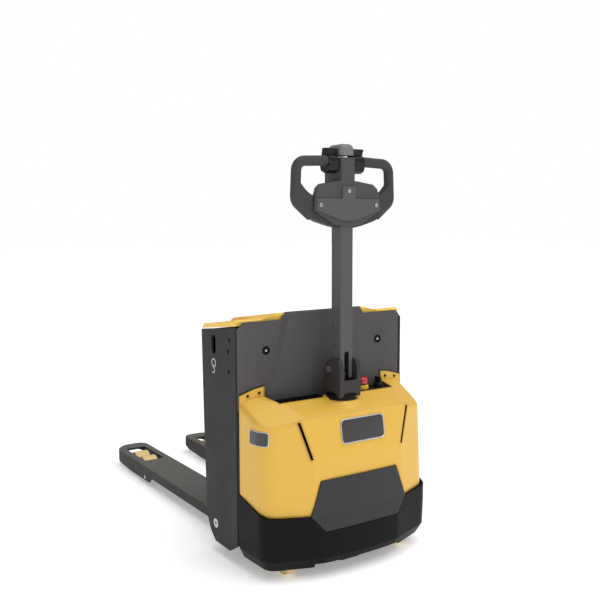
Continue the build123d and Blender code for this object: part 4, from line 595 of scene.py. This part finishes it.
def drive_details():
    axis = facing(UP, ACROSS, (0, STEER_Y, 0))
    revolve("tiller_boot",
            [(46, 588), (50.8, 588), (50.8, 596), (55, 597), (56.5, 600), (53, 603), (55, 606),
             (50, 609), (46, 610), (46, 588)],
            axis, "plug", "drive_unit")
    for i in range(8):
        z = 372 + i * 20
        revolve(f"motor_band_{i}", [(66, z), (69.6, z + 0.6), (69.6, z + 5.4), (66, z + 6)],
                axis, "motor", "drive_unit")
    for i in range(6):
        a = math.radians(60 * i + 20)
        at = (74 * math.cos(a), STEER_Y + 74 * math.sin(a), GEARBOX_TOP)
        revolve(f"gearbox_bolt_{i}", [(0, 0), (5.5, 0), (5.5, 3.6), (4.8, 4.4), (0, 4.4)],
                facing(UP, ACROSS, at), "zinc", "drive_unit", segments=6, smooth=0)


def side_plate_details(side, sign):
    def outside(y, z):
        return facing((sign, 0, 0), (0, sign, 0), (sign * PLATE_X, y, z))

    for i, hole in enumerate(PLATE_HOLES):
        revolve(f"plate_plug_{side}_{i}",
                [(0, -3), (5.6, -3), (5.6, -0.2), (8.6, -0.2), (8.6, 0.9), (6.8, 2.4), (3.5, 3),
                 (0, 3.1)],
                outside(*hole), "plug", "carriage")
    mark = outside(*HOOK_MARK)
    ribbon(f"hook_mark_ring_{side}", arc(0, 0, 14.5, 0, 345, 30), 3.4, 0.5, mark, "white",
           "carriage", closed=True)
    ribbon(f"hook_mark_stem_{side}", [(0, -5), (0, -19)] + arc(-2, -27, 8.5, 75, -150, 18), 3.4,
           0.5, mark, "white", "carriage")


def heel_weld(side, sign):
    """Uneven bead where a fork's heel meets the battery box."""
    y, z = HEEL_WELD
    bead = [(sign * FORK_X - 76 + i * 7.6, y + 0.9 * math.sin(2.1 * i), z + 0.6 * math.cos(2.7 * i))
            for i in range(21)]
    tube(f"heel_weld_{side}", bead, 3.1, "frame", "carriage")


def battery_details():
    for i in range(9):
        for j, y in enumerate((-472, -402)):
            revolve(f"vent_cap_{i}_{j}",
                    [(0, 0), (13, 0), (13, 4), (11.5, 6), (4, 6.4), (3.4, 5.4), (0, 5.4)],
                    facing(UP, ACROSS, (-190 + i * 60, y, BATTERY_TOP)), "collar", "carriage")
    tube("battery_cable_red", [(-262, -450, 800), (-262, -450, 806), (-240, -458, 812),
                               (-224, -474, 806), (-214, -480, 798), (-208, -480, 791)],
         4.5, "red", "carriage")
    tube("battery_cable_black", [(-262, -444, 800), (-262, -444, 806), (-240, -430, 812),
                                 (-222, -410, 806), (-214, -402, 798), (-208, -402, 791)],
         4.5, "seal", "carriage")


def paddle_ribs():
    for side, sign in SIDES:
        for i in range(4):
            x = sign * (42 + i * 9)
            tube(f"paddle_rib_{side}_{i}", [(x, -688.5, 1446), (x, -684, 1430), (x, -676.5, 1410)],
                 0.9, "control", "thumb_control")


chassis_details()
tiller_collar()
tray_details()
drive_details()
for side, sign in SIDES:
    side_plate_details(side, sign)
    heel_weld(side, sign)
battery_details()
paddle_ribs()


# ------------------------------------------------------------------ camera, floor, light
CAMERA_AT = (-1.6992, -2.9965, 1.2229)
CAMERA_YAW, CAMERA_DOWN, CAMERA_ROLL = -33.575, 5.81, -0.144
CAMERA_LENS = 49.07
WORLD_SEEN, WORLD_LIGHT = 1.0, 0.38
SUN_TILT, SUN_LEAN, SUN_ANGLE = 14, 9, 60


def add_camera():
    data = bpy.data.cameras.new("camera")
    data.lens = CAMERA_LENS
    data.sensor_width = 36.0
    camera = bpy.data.objects.new("camera", data)
    camera.location = CAMERA_AT
    camera.rotation_euler = (Matrix.Rotation(math.radians(CAMERA_YAW), 4, "Z")
                             @ Matrix.Rotation(math.radians(90 - CAMERA_DOWN), 4, "X")
                             @ Matrix.Rotation(math.radians(CAMERA_ROLL), 4, "Z")).to_euler()
    scene.collection.objects.link(camera)
    scene.camera = camera


def add_floor():
    t = Tree("studio_floor")
    tone = t.ramp(t.noise(0.8, 3.0), [(0.3, (0.94, 0.94, 0.94, 1)), (0.7, (0.97, 0.97, 0.97, 1))])
    t.set(Base_Color=tone, Roughness=0.9, Specular_IOR_Level=0.1,
          Emission_Color=(1, 1, 1, 1), Emission_Strength=0.3)
    bm = bmesh.new()
    bmesh.ops.create_grid(bm, x_segments=4, y_segments=4, size=30)
    floor = bpy.data.objects.new("studio_floor", finish_mesh(bm, "studio_floor"))
    floor.data.materials.append(t.mat)
    scene.collection.objects.link(floor)


def add_world():
    """White to the camera, dimmer as a light."""
    world = bpy.data.worlds.new("studio")
    scene.world = world
    world.use_nodes = True
    background = world.node_tree.nodes["Background"]
    background.inputs["Color"].default_value = (1, 1, 1, 1)
    seen = world.node_tree.nodes.new("ShaderNodeLightPath").outputs["Is Camera Ray"]
    dim = world.node_tree.nodes.new("ShaderNodeMapRange")
    dim.inputs["To Min"].default_value = WORLD_LIGHT
    dim.inputs["To Max"].default_value = WORLD_SEEN
    world.node_tree.links.new(seen, dim.inputs["Value"])
    world.node_tree.links.new(dim.outputs["Result"], background.inputs["Strength"])


def add_softbox(name, location, aim, size, watts):
    data = bpy.data.lights.new(name, "AREA")
    data.shape = "RECTANGLE"
    data.size, data.size_y = size
    data.energy = watts
    light = bpy.data.objects.new(name, data)
    light.location = location
    light.rotation_euler = (Vector(aim) - Vector(location)).to_track_quat("-Z", "Y").to_euler()
    scene.collection.objects.link(light)


def add_sun():
    data = bpy.data.lights.new("overhead", "SUN")
    data.energy = 1.8
    data.angle = math.radians(SUN_ANGLE)
    sun = bpy.data.objects.new("overhead", data)
    sun.rotation_euler = (math.radians(SUN_TILT), math.radians(SUN_LEAN), 0)
    scene.collection.objects.link(sun)


add_camera()
scene.view_settings.view_transform = "Standard"
scene.view_settings.look = "None"
add_floor()
add_world()
add_softbox("key", (0.2, -3.6, 2.6), (0, -0.6, 0.5), (2.4, 1.6), 13)
add_softbox("left", (-3.0, -1.2, 1.7), (0, -0.4, 0.5), (0.9, 2.2), 4)
add_softbox("right", (2.8, -2.2, 1.9), (0, -0.6, 0.4), (0.7, 2.2), 2.5)
add_sun()
